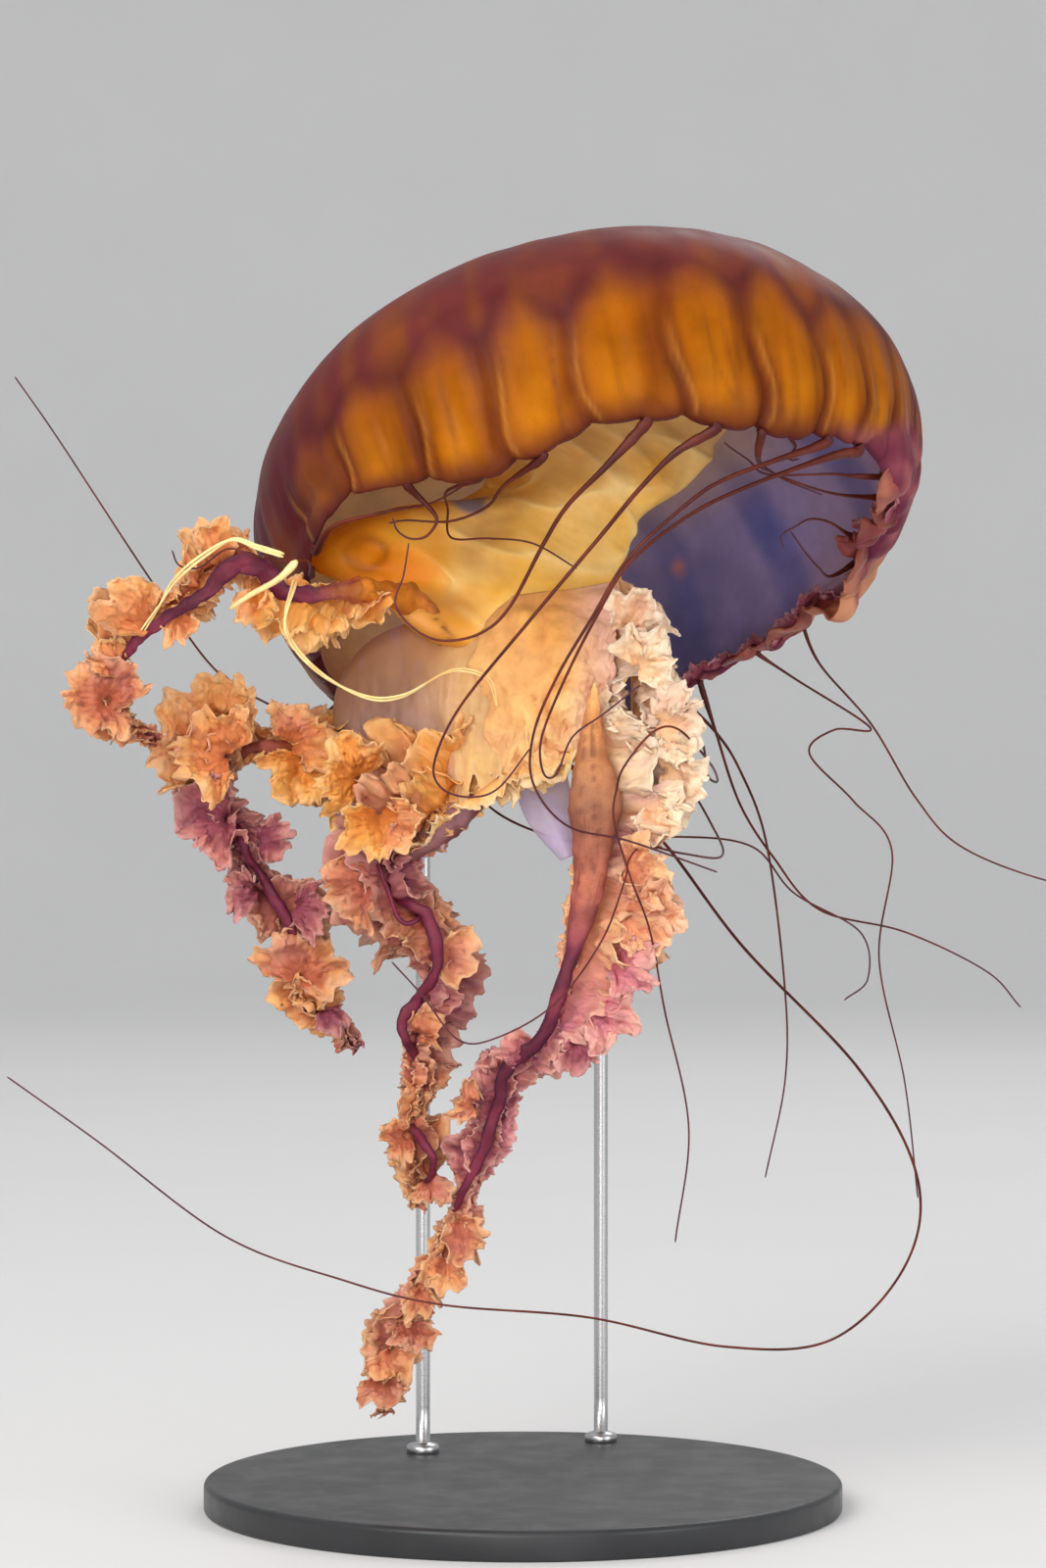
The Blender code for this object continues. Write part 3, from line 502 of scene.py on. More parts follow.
def ramp(tree, source, low, high, out_low=0.0, out_high=1.0):
    """A soft step of source between low and high, given out between out_low and out_high."""
    made = node(tree, "ShaderNodeMapRange", interpolation_type="SMOOTHSTEP")
    tree.links.new(source, made.inputs["Value"])
    for key, value in (("From Min", low), ("From Max", high), ("To Min", out_low), ("To Max", out_high)):
        made.inputs[key].default_value = value
    return made.outputs["Result"]


def object_place(tree):
    """Coordinates in the object's own frame."""
    return tree.nodes.new("ShaderNodeTexCoord").outputs["Object"]


def add_bump(tree, shader, height, strength, distance):
    """Bumps from a height value on the shader's normal."""
    lift = node(tree, "ShaderNodeBump", Strength=strength, Distance=distance)
    tree.links.new(height, lift.inputs["Height"])
    tree.links.new(lift.outputs["Normal"], shader.inputs["Normal"])


def tinted(name, roughness, cloud, speck, bump, bump_scale, lines=None, line_depth=0.5, **more):
    """Flesh: the mesh's own tint, clouded at two sizes, with specks of pigment, fine bumps and, if
    asked, fine lines along the piece. cloud and speck are (strength, scale)."""
    made, tree, shader = new_material(name, roughness, **more)
    place = object_place(tree)
    tint = node(tree, "ShaderNodeVertexColor", layer_name="tint").outputs["Color"]
    clouds = noise_node(tree, place, cloud[1], 5.0)
    light = ramp(tree, clouds, 0.3, 0.7, 1 - cloud[0], 1 + cloud[0])
    grey = node(tree, "ShaderNodeCombineColor")
    for key in ("Red", "Green", "Blue"):
        tree.links.new(light, grey.inputs[key])
    colour = mixed(tree, "MULTIPLY", 1.0, tint, grey.outputs["Color"])
    specks = ramp(tree, noise_node(tree, place, speck[1], 3.0, 0.7), 0.56, 0.70, 0.0, speck[0])
    darker = mixed(tree, "MULTIPLY", 1.0, colour, (0.45, 0.28, 0.30, 1.0))
    colour = mixed(tree, "MIX", specks, colour, darker)
    fine = noise_node(tree, place, bump_scale, 6.0, 0.6)
    if lines:
        along = node(tree, "ShaderNodeUVMap", uv_map="OFBake").outputs["UV"]
        streaks = noise_node(tree, stretched(tree, along, lines), 1.0, 3.0, 0.6)
        colour = mixed(tree, "MIX", ramp(tree, streaks, 0.55, 0.80, 0.0, line_depth), colour, darker)
    tree.links.new(colour, shader.inputs["Base Color"])
    dull = ramp(tree, clouds, 0.25, 0.75, roughness - 0.06, roughness + 0.10)
    tree.links.new(dull, shader.inputs["Roughness"])
    add_bump(tree, shader, fine, bump, 0.0008)
    return made


def charcoal_metal():
    """Satin charcoal paint with a fine spray texture and faint wear on its tone."""
    made, tree, shader = new_material("satin_charcoal_paint", 0.42, coat=0.15, coat_roughness=0.3)
    place = object_place(tree)
    clouds = noise_node(tree, place, 14.0, 6.0)
    shade = ramp(tree, clouds, 0.3, 0.7)
    colour = mixed(tree, "MIX", shade, (0.018, 0.019, 0.021, 1), (0.032, 0.033, 0.036, 1))
    tree.links.new(colour, shader.inputs["Base Color"])
    tree.links.new(ramp(tree, noise_node(tree, place, 60.0), 0.3, 0.7, 0.36, 0.5), shader.inputs["Roughness"])
    add_bump(tree, shader, noise_node(tree, place, 1400.0, 2.0), 0.25, 0.0002)
    return made


def brushed_rod():
    """Steel with fine brushing round the rod."""
    made, tree, shader = new_material("brushed_rod_steel", 0.3, metallic=1.0)
    place = object_place(tree)
    brushing = noise_node(tree, stretched(tree, place, (60.0, 60.0, 4500.0)), 1.0, 3.0)
    colour = mixed(tree, "MIX", brushing, (0.42, 0.42, 0.43, 1), (0.62, 0.62, 0.63, 1))
    tree.links.new(colour, shader.inputs["Base Color"])
    tree.links.new(ramp(tree, brushing, 0.3, 0.7, 0.24, 0.40), shader.inputs["Roughness"])
    return made


def floor_material():
    """Pale matt paint with a faint cloud."""
    made, tree, shader = new_material("pale_floor", 0.75)
    place = object_place(tree)
    colour = mixed(tree, "MIX", noise_node(tree, place, 3.0), (0.74, 0.74, 0.74, 1), (0.78, 0.78, 0.78, 1))
    tree.links.new(colour, shader.inputs["Base Color"])
    return made


# ---- the bell ----

# directions of the bell's radial grooves, in degrees from the right by way of the rear
GROOVES = (2, 15, 29, 44, 59, 74, 89, 104, 119, 134, 149, 164, 179, 193, 209,
           226, 242, 257, 271, 287.5, 302, 315, 325.5, 336, 347.5)
SWELL = 0.0012            # how far the wall stands out between two grooves
GROOVE_DEPTH = 0.0012
GROOVE_WIDTH = 0.0019
BELL_COLUMNS = 600
OUTER_RINGS = 96
INNER_RINGS = 60
LIP_DROP = 0.0007         # how far the rounded lip hangs below the two walls

CROWN_MAROON = rgb(102, 42, 40)
CROWN_BROWN = rgb(124, 64, 28)
CROWN_DARK = rgb(74, 28, 34)
# the bright and the deep amber also paint a glow in the middle of each field and shade at its sides
AMBER = rgb(148, 79, 4)
AMBER_BRIGHT = rgb(174, 102, 8)
AMBER_DEEP = rgb(116, 54, 9)
RIM_BROWN = rgb(88, 36, 24)
LIMB_PURPLE = rgb(74, 26, 40)
# colour of the painted shade in the bell's grooves and creases
GROOVE_SHADE = rgb(84, 34, 14)
# colour of the painted highlight along the ridge beside each groove
RIDGE_HIGHLIGHT = rgb(178, 118, 48)
MARGIN_MAROON = rgb(104, 42, 66)
MARGIN_PINK = rgb(152, 84, 88)
INNER_MAUVE = rgb(170, 152, 192)
INNER_SLATE = rgb(102, 104, 170)
INNER_BEIGE = rgb(206, 170, 128)
INNER_CREAM = rgb(226, 188, 132)


def around(values, phi):
    """A smooth closed curve through evenly spaced values, read at angle phi."""
    count = len(values)
    waves = np.fft.rfft(values) / count
    total = np.full_like(phi, waves[0].real)
    for k in range(1, count // 2):
        total = total + 2 * (waves[k].real * np.cos(k * phi) - waves[k].imag * np.sin(k * phi))
    return total + waves[count // 2].real * np.cos(count // 2 * phi)


def tip_over(local):
    """Turns points of the upright bell into its tipped place."""
    x, y, z = local[..., 0], local[..., 1], local[..., 2]
    back_y = y * math.cos(TIP_BACK) + z * math.sin(TIP_BACK)
    back_z = z * math.cos(TIP_BACK) - y * math.sin(TIP_BACK)
    side_x = x * math.cos(TIP_SIDE) - back_z * math.sin(TIP_SIDE)
    side_z = x * math.sin(TIP_SIDE) + back_z * math.cos(TIP_SIDE)
    return np.stack([side_x, back_y, side_z], -1) + np.array(BELL_CENTRE)


def bell_local(phi, u):
    """The bell's outer surface without its folds, u from 0 at the crown to 1 at the margin."""
    depth = around(SKIRT_DEPTH, phi)
    draw = around(DRAW_IN, phi)
    crown = np.clip(u / CROWN_PART, 0, 1) * math.pi / 2
    skirt = np.clip((u - CROWN_PART) / (1 - CROWN_PART), 0, 1)
    r = BELL_RADIUS * np.sin(crown) ** 0.92 - draw * skirt ** 1.6
    z = CROWN_HEIGHT * np.cos(crown) - depth * np.sin(skirt * math.pi / 2 * 0.98)
    return np.stack([r * np.cos(phi), r * np.sin(phi), z], -1)


def inward(phi, u):
    """The unit direction from the bell's outer surface into its wall."""
    step = 0.004
    across = bell_local(phi + step, u) - bell_local(phi - step, u)
    down = bell_local(phi, np.minimum(u + step, 1.0)) - bell_local(phi, np.maximum(u - step, 0.001))
    return -unit(np.cross(down, across))


def pleats(phi, u):
    """For each place on the bell: where it lies between two grooves (0 to 1), the signed distance to
    the nearer groove in metres, and that groove's number."""
    turn = 2 * math.pi
    marks = np.radians(np.array(GROOVES))
    marks = np.concatenate([[marks[-1] - turn], marks, [marks[0] + turn, marks[1] + turn]])
    bent = np.mod(phi + 0.018 * np.sin(u * 8 + 3 * phi) + 0.012 * np.sin(u * 19 + 5 * phi), turn)
    index = np.searchsorted(marks, bent.ravel(), side="right").reshape(bent.shape) - 1
    index = np.clip(index, 0, len(marks) - 2)
    low, high = marks[index], marks[index + 1]
    place = (bent - low) / (high - low)
    nearer_high = place > 0.5
    gap = np.where(nearer_high, bent - high, bent - low) * BELL_RADIUS
    number = np.mod(index + nearer_high - 1, len(GROOVES))
    return place, gap, number


def window(phi, low, high, soft):
    """1 between two directions in degrees (low may be negative), 0 outside, with a soft step between."""
    degrees = np.degrees(np.mod(phi, 2 * math.pi))
    middle, half = (low + high) / 2, (high - low) / 2
    off = np.abs(np.mod(degrees - middle + 180, 360) - 180)
    return 1 - smooth(half - soft / 2, half + soft / 2, off)


def bell_surface(phi, u):
    """The outer surface with its pleats, grooves and folds, in the upright bell's own frame."""
    base = bell_local(phi, u)
    into = inward(phi, u)
    place, gap, number = pleats(phi, u)
    # swelling pleats, with a groove between each two and a low ridge on each side of it
    strength = 0.30 + 0.80 * np.sin(number * 2.4 + 0.7) ** 2
    down = smooth(0.40, 0.92, u)
    swell = (1 - np.abs(2 * place - 1) ** 2.2) * SWELL * down * (0.6 + 0.5 * strength)
    groove = hump(gap, GROOVE_WIDTH) * GROOVE_DEPTH * smooth(0.58, 0.92, u) * strength
    ridge = hump(np.abs(gap) - 0.0036, 0.0014) * 0.0005
    ridge = ridge * between(0.55, 0.75, 0.93, 0.99, u)
    minor = sheet_noise(phi * 22, u * 1.6, 0, 11) * 0.0010
    minor = minor * smooth(0.52, 0.80, u) * (1 - 0.5 * smooth(0.95, 1.0, u))
    soft = fractal(base * 26, 3) * 0.0014 + noise(base * 90, 9) * 0.0003 * down
    # loose folds at the right and the rear, a crease at the left, and the rolled, lobed edge
    fold = window(phi, -40, 88, 30) * smooth(0.70, 0.96, u)
    folds = fold * (0.0064 * noise(base * (52, 52, 44), 21) + 0.0016 * noise(base * 120, 22))
    folds = folds * (1 + 0.6 * window(phi, -22, 50, 24))
    crease = window(phi, 190, 218, 10) * hump(u - 0.80, 0.045) * 0.0028
    rolled = smooth(0.955, 1.0, u) * 0.0018
    out = swell - groove + ridge + minor + soft * (1 - 0.5 * fold) + folds - crease - rolled
    out = out - 0.0006 * creases(phi, u) * smooth(0.60, 0.80, u)
    lobes = np.sin(math.pi * place) ** 0.7 * 0.0020 + np.abs(np.sin(2 * math.pi * place)) * 0.0008
    edge = smooth(0.86, 1.0, u) * (lobes + fold * 0.005 * noise(base * 110, 31))
    found = base - into * out[..., None]
    found[..., 2] -= edge
    return found


def creases(phi, u):
    """Fine wandering creases that run down the bell's wall, 1 along each line."""
    across = sheet_noise(phi * 17 + 0.5 * np.sin(u * 9 + 4 * phi), u * 2.6, 0, 47)
    return (1 - np.abs(across)) ** 9


def bell_outer_tint(phi, u, local):
    """Maroon-brown crown, amber fields with painted shade at their sides and a painted glow in their middles,
    painted shade in the grooves and creases, a painted highlight beside each groove, a purple limb and
    margin.
    """
    place, gap, number = pleats(phi, u)
    middle = 1 - np.abs(2 * place - 1)
    blotch = fractal(local * 34, 41)
    fine = fractal(local * 110, 44)
    streak = sheet_noise(phi * 16, u * 3.2, 0, 42)
    thread = sheet_noise(phi * 38, u * 2.6, 0, 45)
    near = hump(gap, 0.011)
    lean = window(phi, 168, 250, 70)
    edge = 0.645 + 0.060 * blotch + 0.075 * near * (0.4 + 0.6 * np.sin(number * 1.9))
    edge = edge - 0.03 * middle + 0.055 * lean
    lower = smooth(-0.080, 0.060, u - edge)
    crown = mix(CROWN_MAROON, CROWN_BROWN, smooth(0.0, 0.80, 0.45 * streak + 0.45 * blotch + 0.25))
    band = hump(u - edge + 0.050, 0.045) * (0.35 + 0.65 * near)
    crown = mix(crown, CROWN_DARK, np.clip(0.85 * band + 0.35 * smooth(0.1, 0.8, -blotch), 0, 1))
    # painted shade: each amber field is darker towards the grooves at its sides and lighter in its middle,
    # with random threads
    amber = mix(AMBER_DEEP, AMBER, smooth(0.0, 0.55, middle + 0.20 * thread))
    # painted glow: a bright patch low in the middle of each field stands in for light through the wall, mixed
    # with random streaks
    painted_glow = smooth(0.30, 1.0, middle) * hump(u - 0.845, 0.085)
    amber = mix(amber, AMBER_BRIGHT, np.clip(painted_glow * 0.85 + 0.30 * streak + 0.20 * fine, 0, 1))
    amber = mix(amber, RIM_BROWN, smooth(0.865, 0.975, u + 0.020 * blotch) * 0.92)
    tint = mix(crown, amber, lower)
    tint = mix(tint, AMBER_DEEP * 0.8, 0.30 * smooth(0.15, 0.8, -thread) * smooth(0.60, 0.80, u))
    side = np.clip(window(phi, 168, 226, 34) + 0.7 * window(phi, -14, 40, 40), 0, 1)
    tint = mix(tint, LIMB_PURPLE, side * (0.90 - 0.2 * middle) * smooth(0.3, 0.6, u))
    # painted shade: the grooves, the soft bands beside them and the fine creases are darkened, more where a
    # groove is deeper
    depth = 0.18 + 0.62 * np.sin(number * 2.4 + 0.7) ** 2
    dark = 0.85 * hump(gap, 0.0011) * smooth(0.62, 0.80, u)
    dark = dark + 0.55 * hump(gap, 0.0055) * smooth(0.50, 0.74, u)
    tint = mix(tint, GROOVE_SHADE, np.clip(dark * depth, 0, 0.9))
    tint = mix(tint, GROOVE_SHADE, 0.34 * creases(phi, u) * smooth(0.58, 0.75, u))
    # painted highlight along the low ridge on one side of each groove
    pale = hump(gap - 0.0040, 0.0010) * between(0.66, 0.78, 0.92, 0.97, u)
    tint = mix(tint, RIDGE_HIGHLIGHT, pale * 0.42)
    low = 0.87 - 0.17 * window(phi, -24, 36, 24)
    fold = window(phi, -35, 92, 24) * smooth(low, low + 0.09, u + 0.03 * blotch)
    tint = mix(tint, mix(MARGIN_MAROON, MARGIN_PINK, smooth(-0.4, 0.6, noise(local * 120, 43))), fold * 0.85)
    lobe = window(phi, 24, 52, 12) * between(0.76, 0.88, 0.95, 0.99, u)
    tint = mix(tint, rgb(190, 134, 98), lobe * 0.8)
    rim = smooth(0.975, 0.998, u)
    return mix(tint, MARGIN_MAROON * 0.7, rim * 0.8)


def bell_inner_tint(phi, u, local):
    """Mauve-grey sectors parted by narrower, darker ones, browner to the left, where it is also painted
    lighter to light the shaded inside, and cream under the crown.
    """
    cloud = fractal(local * 40, 51)
    sector = 0.5 + 0.5 * np.cos(16 * phi + 0.9 + 0.35 * np.sin(u * 7) + 0.5 * cloud)
    light = smooth(0.02, 0.50, sector)
    wall = mix(INNER_SLATE, INNER_MAUVE, np.clip(0.22 + 0.50 * light + 0.30 * cloud, 0, 1))
    blue = window(phi, 62, 108, 26) * between(0.30, 0.50, 0.80, 0.95, u)
    wall = mix(wall, rgb(92, 98, 150), 0.55 * blue)
    tan = window(phi, -30, 45, 40) * smooth(0.45, 0.85, u)
    wall = mix(wall, rgb(206, 166, 170), 0.80 * tan)
    # painted light: the beige of the left side is lighter than its own tone, to light the inside where it
    # lies in shade
    left = window(phi, 120, 222, 50)
    beige = mix(rgb(222, 178, 130), rgb(196, 160, 150), smooth(0.0, 0.6, cloud + 0.1) * 0.6)
    beige = mix(beige, rgb(196, 130, 78), smooth(0.55, 0.90, u))
    wall = mix(wall, beige, left)
    front = window(phi, 222, 318, 40)
    wall = mix(wall, mix(INNER_CREAM, INNER_BEIGE, smooth(0.5, 0.9, u)), front * 0.8)
    wall = mix(wall, INNER_CREAM, (1 - smooth(0.22, 0.42, u)) * 0.7)
    placed = tip_over(local)
    off = np.hypot(placed[..., 0] - 0.0675, placed[..., 2] - 0.3890)
    wall = mix(wall, rgb(214, 138, 112), hump(off, 0.0030) * (placed[..., 1] > 0.02) * 0.8)
    margin = smooth(0.83, 0.955, u + 0.03 * cloud)
    return mix(wall, mix(MARGIN_MAROON, MARGIN_PINK, smooth(-0.3, 0.7, cloud)), margin * 0.85)


def make_bell(shader):
    """The whole bell in one skin: outer wall, rounded lip and inner wall."""
    phi = full_turn(BELL_COLUMNS)
    outer_u = np.concatenate([[0.004], np.linspace(0.03, 1.0, OUTER_RINGS) ** 0.92])
    inner_u = (np.linspace(1.0, 0.03, INNER_RINGS) ** 0.92).tolist() + [0.004]
    rings, tints = [], []
    for u in outer_u:
        level = np.full_like(phi, u)
        local = bell_surface(phi, level)
        rings.append(local)
        tints.append(bell_outer_tint(phi, level, local))
    for u in inner_u:
        level = np.full_like(phi, u)
        wall = CROWN_WALL + (MARGIN_WALL - CROWN_WALL) * u ** 1.5
        local = bell_surface(phi, level) + inward(phi, level) * wall
        rings.append(local)
        tints.append(bell_inner_tint(phi, level, local))
    lip = (rings[len(outer_u) - 1] + rings[len(outer_u)]) / 2
    lip[:, 2] -= LIP_DROP
    rings.insert(len(outer_u), lip)
    tints.insert(len(outer_u), np.broadcast_to(MARGIN_MAROON * 0.7, lip.shape))
    make_rings(tip_over(np.array(rings)), np.array(tints), "bell_skin", shader, ["bell"])


# ---- frills ----

FRILL_THICKNESS = 0.0006
FRILL_SPACING = 0.00054
FRILL_ROWS = 12
REAR_ROWS = 8             # for the lips that lie behind an arm
FINE_WAVE = 0.0034        # length of the small folds along the edge
FINE_LOBE = 0.0031        # length of the small lobes along the edge
BLUSH = rgb(190, 128, 150)

# the frills' colours: at the root, in the middle, at the edge, and of the painted shade in the hollows
TINTS = {name: tuple(rgb(*colour) for colour in colours) for name, colours in {
    "golden": ((196, 108, 42), (220, 136, 58), (240, 166, 84), (180, 98, 60)),
    "peach": ((174, 90, 58), (212, 126, 74), (236, 162, 94), (150, 72, 66)),
    "tan": ((144, 72, 58), (182, 102, 72), (218, 144, 90), (116, 50, 66)),
    "mauve": ((108, 46, 64), (146, 74, 84), (196, 120, 108), (92, 34, 76)),
    "rosy": ((128, 58, 74), (164, 86, 96), (210, 130, 116), (104, 42, 82)),
    "pink": ((216, 134, 92), (228, 148, 110), (246, 176, 122), (186, 100, 108)),
    "lilac": ((186, 100, 108), (204, 120, 130), (234, 156, 138), (156, 76, 112)),
    "coral": ((166, 90, 74), (204, 124, 88), (230, 158, 100), (134, 64, 84)),
    "creamy": ((234, 178, 128), (240, 194, 152), (252, 220, 180), (202, 148, 146)),
    "cream": ((236, 164, 92), (240, 178, 108), (248, 204, 146), (216, 142, 88)),
    "pale": ((236, 182, 132), (240, 192, 154), (252, 218, 180), (204, 152, 150)),
    "beige": ((152, 104, 58), (172, 132, 114), (152, 120, 170), (150, 108, 132)),
    "warm": ((200, 142, 80), (214, 162, 110), (232, 172, 98), (202, 144, 104)),
    "wine": ((118, 52, 66), (140, 66, 82), (176, 102, 112), (92, 36, 56)),
}.items()}


def swaying(line, outward, length, ruffle, seed):
    """The leaf's directions along, out and across at each point of its line. The leaf sways along the
    line and tips to the front and the rear."""
    travel = directions(line, 12)
    normal = unit(np.cross(travel, outward))
    swing = (0.38 * ruffle * noise_line(length * 120, seed + 30))[:, None]
    tilt = (0.60 * ruffle * noise_line(length * 100, seed + 31))[:, None]
    outward = (outward * np.cos(swing) + travel * np.sin(swing)) * np.cos(tilt) + normal * np.sin(tilt)
    outward = unit(outward)
    normal = unit(np.cross(travel, outward))
    return unit(np.cross(outward, normal)), outward, normal


def ruffled(u, steps, wide, ruffle, fringe, seed):
    """How far each point of a leaf lies across, along and out from its root, and the phase of its fine
    folds. Folds grow towards the edge, branch and lean over, and the edge has broad and fine lobes."""
    length = np.cumsum(steps)
    # lengths of the broad and the fine folds and lobes, and the phase that each has reached
    wave1 = np.clip(0.50 * wide, 0.0055, 0.0115) * (1 + 0.40 * noise_line(length * 80, seed))
    wave2 = FINE_WAVE * (1 + 0.40 * noise_line(length * 260, seed + 1))
    lobe1 = np.clip(0.45 * wide, 0.0048, 0.0090) * (1 + 0.45 * noise_line(length * 70, seed + 7))
    lobe2 = FINE_LOBE * (1 + 0.45 * noise_line(length * 280, seed + 8))
    turn1, turn2 = (np.cumsum(steps / wave)[None] for wave in (wave1, wave2))
    hump1 = np.abs(np.sin(np.cumsum(math.pi * steps / lobe1) + seed)) ** 0.6
    hump2 = np.abs(np.sin(np.cumsum(math.pi * steps / lobe2) + seed)) ** 0.8
    ends = smooth(-0.002, 0.006, length) * smooth(-0.002, 0.006, length[-1] - length)
    broad = sheet_noise(turn1 * 1.35, u * 2.0, 9, seed + 42)
    finer = sheet_noise(turn2 * 1.3, u * 4.0, 4, seed + 43)
    phase1 = 2 * math.pi * turn1 + seed + 2.6 * sheet_noise(turn1 * 1.1, u * 2.4, 0, seed + 40)
    phase2 = 2 * math.pi * turn2 + seed * 1.7 + 2.6 * sheet_noise(turn2 * 0.8, u * 3.4, 5, seed + 41)
    size1 = 0.070 * ruffle * (wide * ends)[None] * u ** 1.2
    size2 = 0.0014 * ruffle * u ** 3.2 * np.ones_like(turn1)
    curl = (0.30 * noise_line(length * 85, seed + 45) * wide)[None] * ruffle * u ** 2.4
    across = size1 * (0.60 * np.sin(phase1) + 0.95 * broad) + curl
    across = across + size2 * (0.7 * np.sin(phase2) + 0.9 * finer)
    lean = 0.55 * size1 * np.sin(2 * phase1 + 0.9) + 0.7 * size2 * np.sin(2 * phase2 + 1)
    reach = 1 + 0.25 * u ** 1.4 * (hump1 - 0.78)[None] + 0.26 * u * noise_line(length * 110, seed + 4)[None]
    out = wide[None] * u * reach * (0.35 + 0.65 * ends) - 0.3 * size1 * np.sin(phase1) ** 2
    out = out + fringe * u ** 3 * (0.0021 * (hump2 - 0.6) + 0.0006 * noise_line(length * 560, seed + 6))[None]
    return across, lean, out, phase2


def crumpled(middle, outward, normal, u, length, fringe, crumple, seed):
    """The leaf with crumples smoothed along it, fine lace on its edge and rounded puffs that stand out
    to the front, and how far each point is puffed."""
    large = noises(middle * 135, (seed + 11, seed + 12, seed + 13))
    small = noises(middle * 480, (seed + 14, seed + 15, seed + 16))
    medium = noises(middle * 270, (seed + 17, seed + 18, seed + 19))
    rough = crumple * u[..., None] ** 0.7
    middle = middle + rough * (0.0024 * large + 0.0015 * medium)
    for _ in range(3):
        middle[:, 1:-1] = (middle[:, :-2] + 2 * middle[:, 1:-1] + middle[:, 2:]) / 4
    lace = 0.0009 * noise_line(length * 640, seed + 50) + 0.0006 * noise_line(length * 1150, seed + 51)
    middle = middle + outward[None] * (fringe * u ** 4 * lace[None])[..., None]
    middle = middle + rough * 0.0008 * small
    soft = middle + 0.0012 * medium
    puff = np.abs(noise(soft * 150, seed + 24)) + 0.55 * np.abs(noise(soft * 340, seed + 25))
    puff = puff + 0.30 * np.abs(noise(soft * 720, seed + 26))
    facing = normal * np.where(normal[:, 1:2] > 0, -1.0, 1.0)
    return middle + (crumple * 0.0042 * puff * smooth(0.0, 0.5, u))[..., None] * facing[None], puff


def frill(root, edge, seed, tints, ruffle=1.0, fringe=1.0, crumple=1.0, rows=FRILL_ROWS, blush=0.0):
    """A thin ruffled, crumpled leaf from a root line to a lobed, lacy edge. tints are the colours at the
    root, in the middle, at the edge and of the painted shade in the hollows."""
    line = (root + edge) / 2
    steps = np.linalg.norm(np.diff(line, axis=0, prepend=line[:1]), axis=1)
    length = np.cumsum(steps)
    wide = np.linalg.norm(edge - root, axis=1)
    u = (np.linspace(0, 1, rows) ** 0.72)[:, None]
    travel, outward, normal = swaying(line, unit(edge - root), length, ruffle, seed)
    across, lean, out, fine = ruffled(u, steps, wide, ruffle, fringe, seed)
    middle = root[None] + outward[None] * out[..., None] + normal[None] * across[..., None]
    middle = middle + travel[None] * lean[..., None]
    middle, puff = crumpled(middle, outward, normal, u, length, fringe, crumple, seed)
    # painted shade in the valleys of the fine folds, near the root and between the puffs, with random clouds
    # of the same darker colour
    hollow = 0.12 * smooth(0.2, 1.0, -np.sin(fine)) * smooth(0.1, 0.5, u)
    hollow = hollow + 0.36 * smooth(0.05, 0.75, noise(middle * 36, seed + 22))
    hollow = hollow + 0.14 * (1 - smooth(0.0, 0.3, u))
    hollow = hollow + 0.45 * smooth(0.34, 0.04, puff)
    tint = frill_tint(middle, u, length, hollow, seed, tints, blush)
    return leaf(middle, FRILL_THICKNESS * (1 - 0.4 * u), tint)


def frill_tint(middle, u, length, hollow, seed, tints, blush):
    """A frill's colour at each point: clouded from root to edge, with painted shade in its hollows, patches
    of blush, dark and clear veins and a clear edge that is partly its own paler tone and partly painted
    light."""
    at_root, at_middle, at_edge, hollow_shade_and_vein = tints
    cloud = fractal(middle * 70, seed + 21)
    tint = mix(at_root, at_middle, smooth(0.02, 0.45, u + 0.12 * cloud))
    tint = mix(tint, at_edge, smooth(0.45, 1.0, u + 0.20 * cloud))
    # painted shade in the hollows, with the random clouds
    tint = mix(tint, hollow_shade_and_vein, np.clip(hollow, 0, 1))
    patch = smooth(0.05, 0.70, noise(middle * 44, seed + 23)) * smooth(0.15, 0.6, u)
    tint = mix(tint, BLUSH, blush * patch)
    vein = noise_line(length * 520, seed + 52) + 0.7 * noise_line(length * 1050, seed + 53)
    tint = mix(tint, hollow_shade_and_vein, 0.40 * smooth(0.0, 0.8, vein) * smooth(0.25, 0.7, u))
    # the clear edge is partly the thin tissue's own paler tone and partly painted light that offsets the
    # shade of the folds; the clear veins are its own pattern
    clear = at_edge * 0.8 + 0.18
    tint = mix(tint, clear, 0.35 * smooth(0.0, 0.8, -vein) * smooth(0.3, 0.8, u))
    return mix(tint, clear, 0.35 * smooth(0.80, 1.0, u))


def along(share, table, k):
    """Column k of a table of (share of the length, colour, colour, ...), read at each share."""
    marks = [row[0] for row in table]
    return np.stack([np.interp(share, marks, [row[k][c] for row in table]) for c in range(3)], -1)


def along_tints(share, table):
    """The four colours of a frill at each place along it, from pairs of share of the length and name."""
    rows = [(mark,) + TINTS[name] for mark, name in table]
    return [along(share, rows, k)[None] for k in (1, 2, 3, 4)]


# lips of an arm: side (-1 or 1), tilt to the front in degrees, share of the lip's width
REAR_LIPS = ((-1, 15, 1.0), (1, 15, 1.0), (-1, -32, 0.90), (1, -32, 0.90))
FRONT_LIPS = ((-1, 38, 0.86), (1, 38, 0.86), (-1, 64, 0.62), (1, 64, 0.62))
FOREMOST = 50             # lips tilted further than this lie over the rib


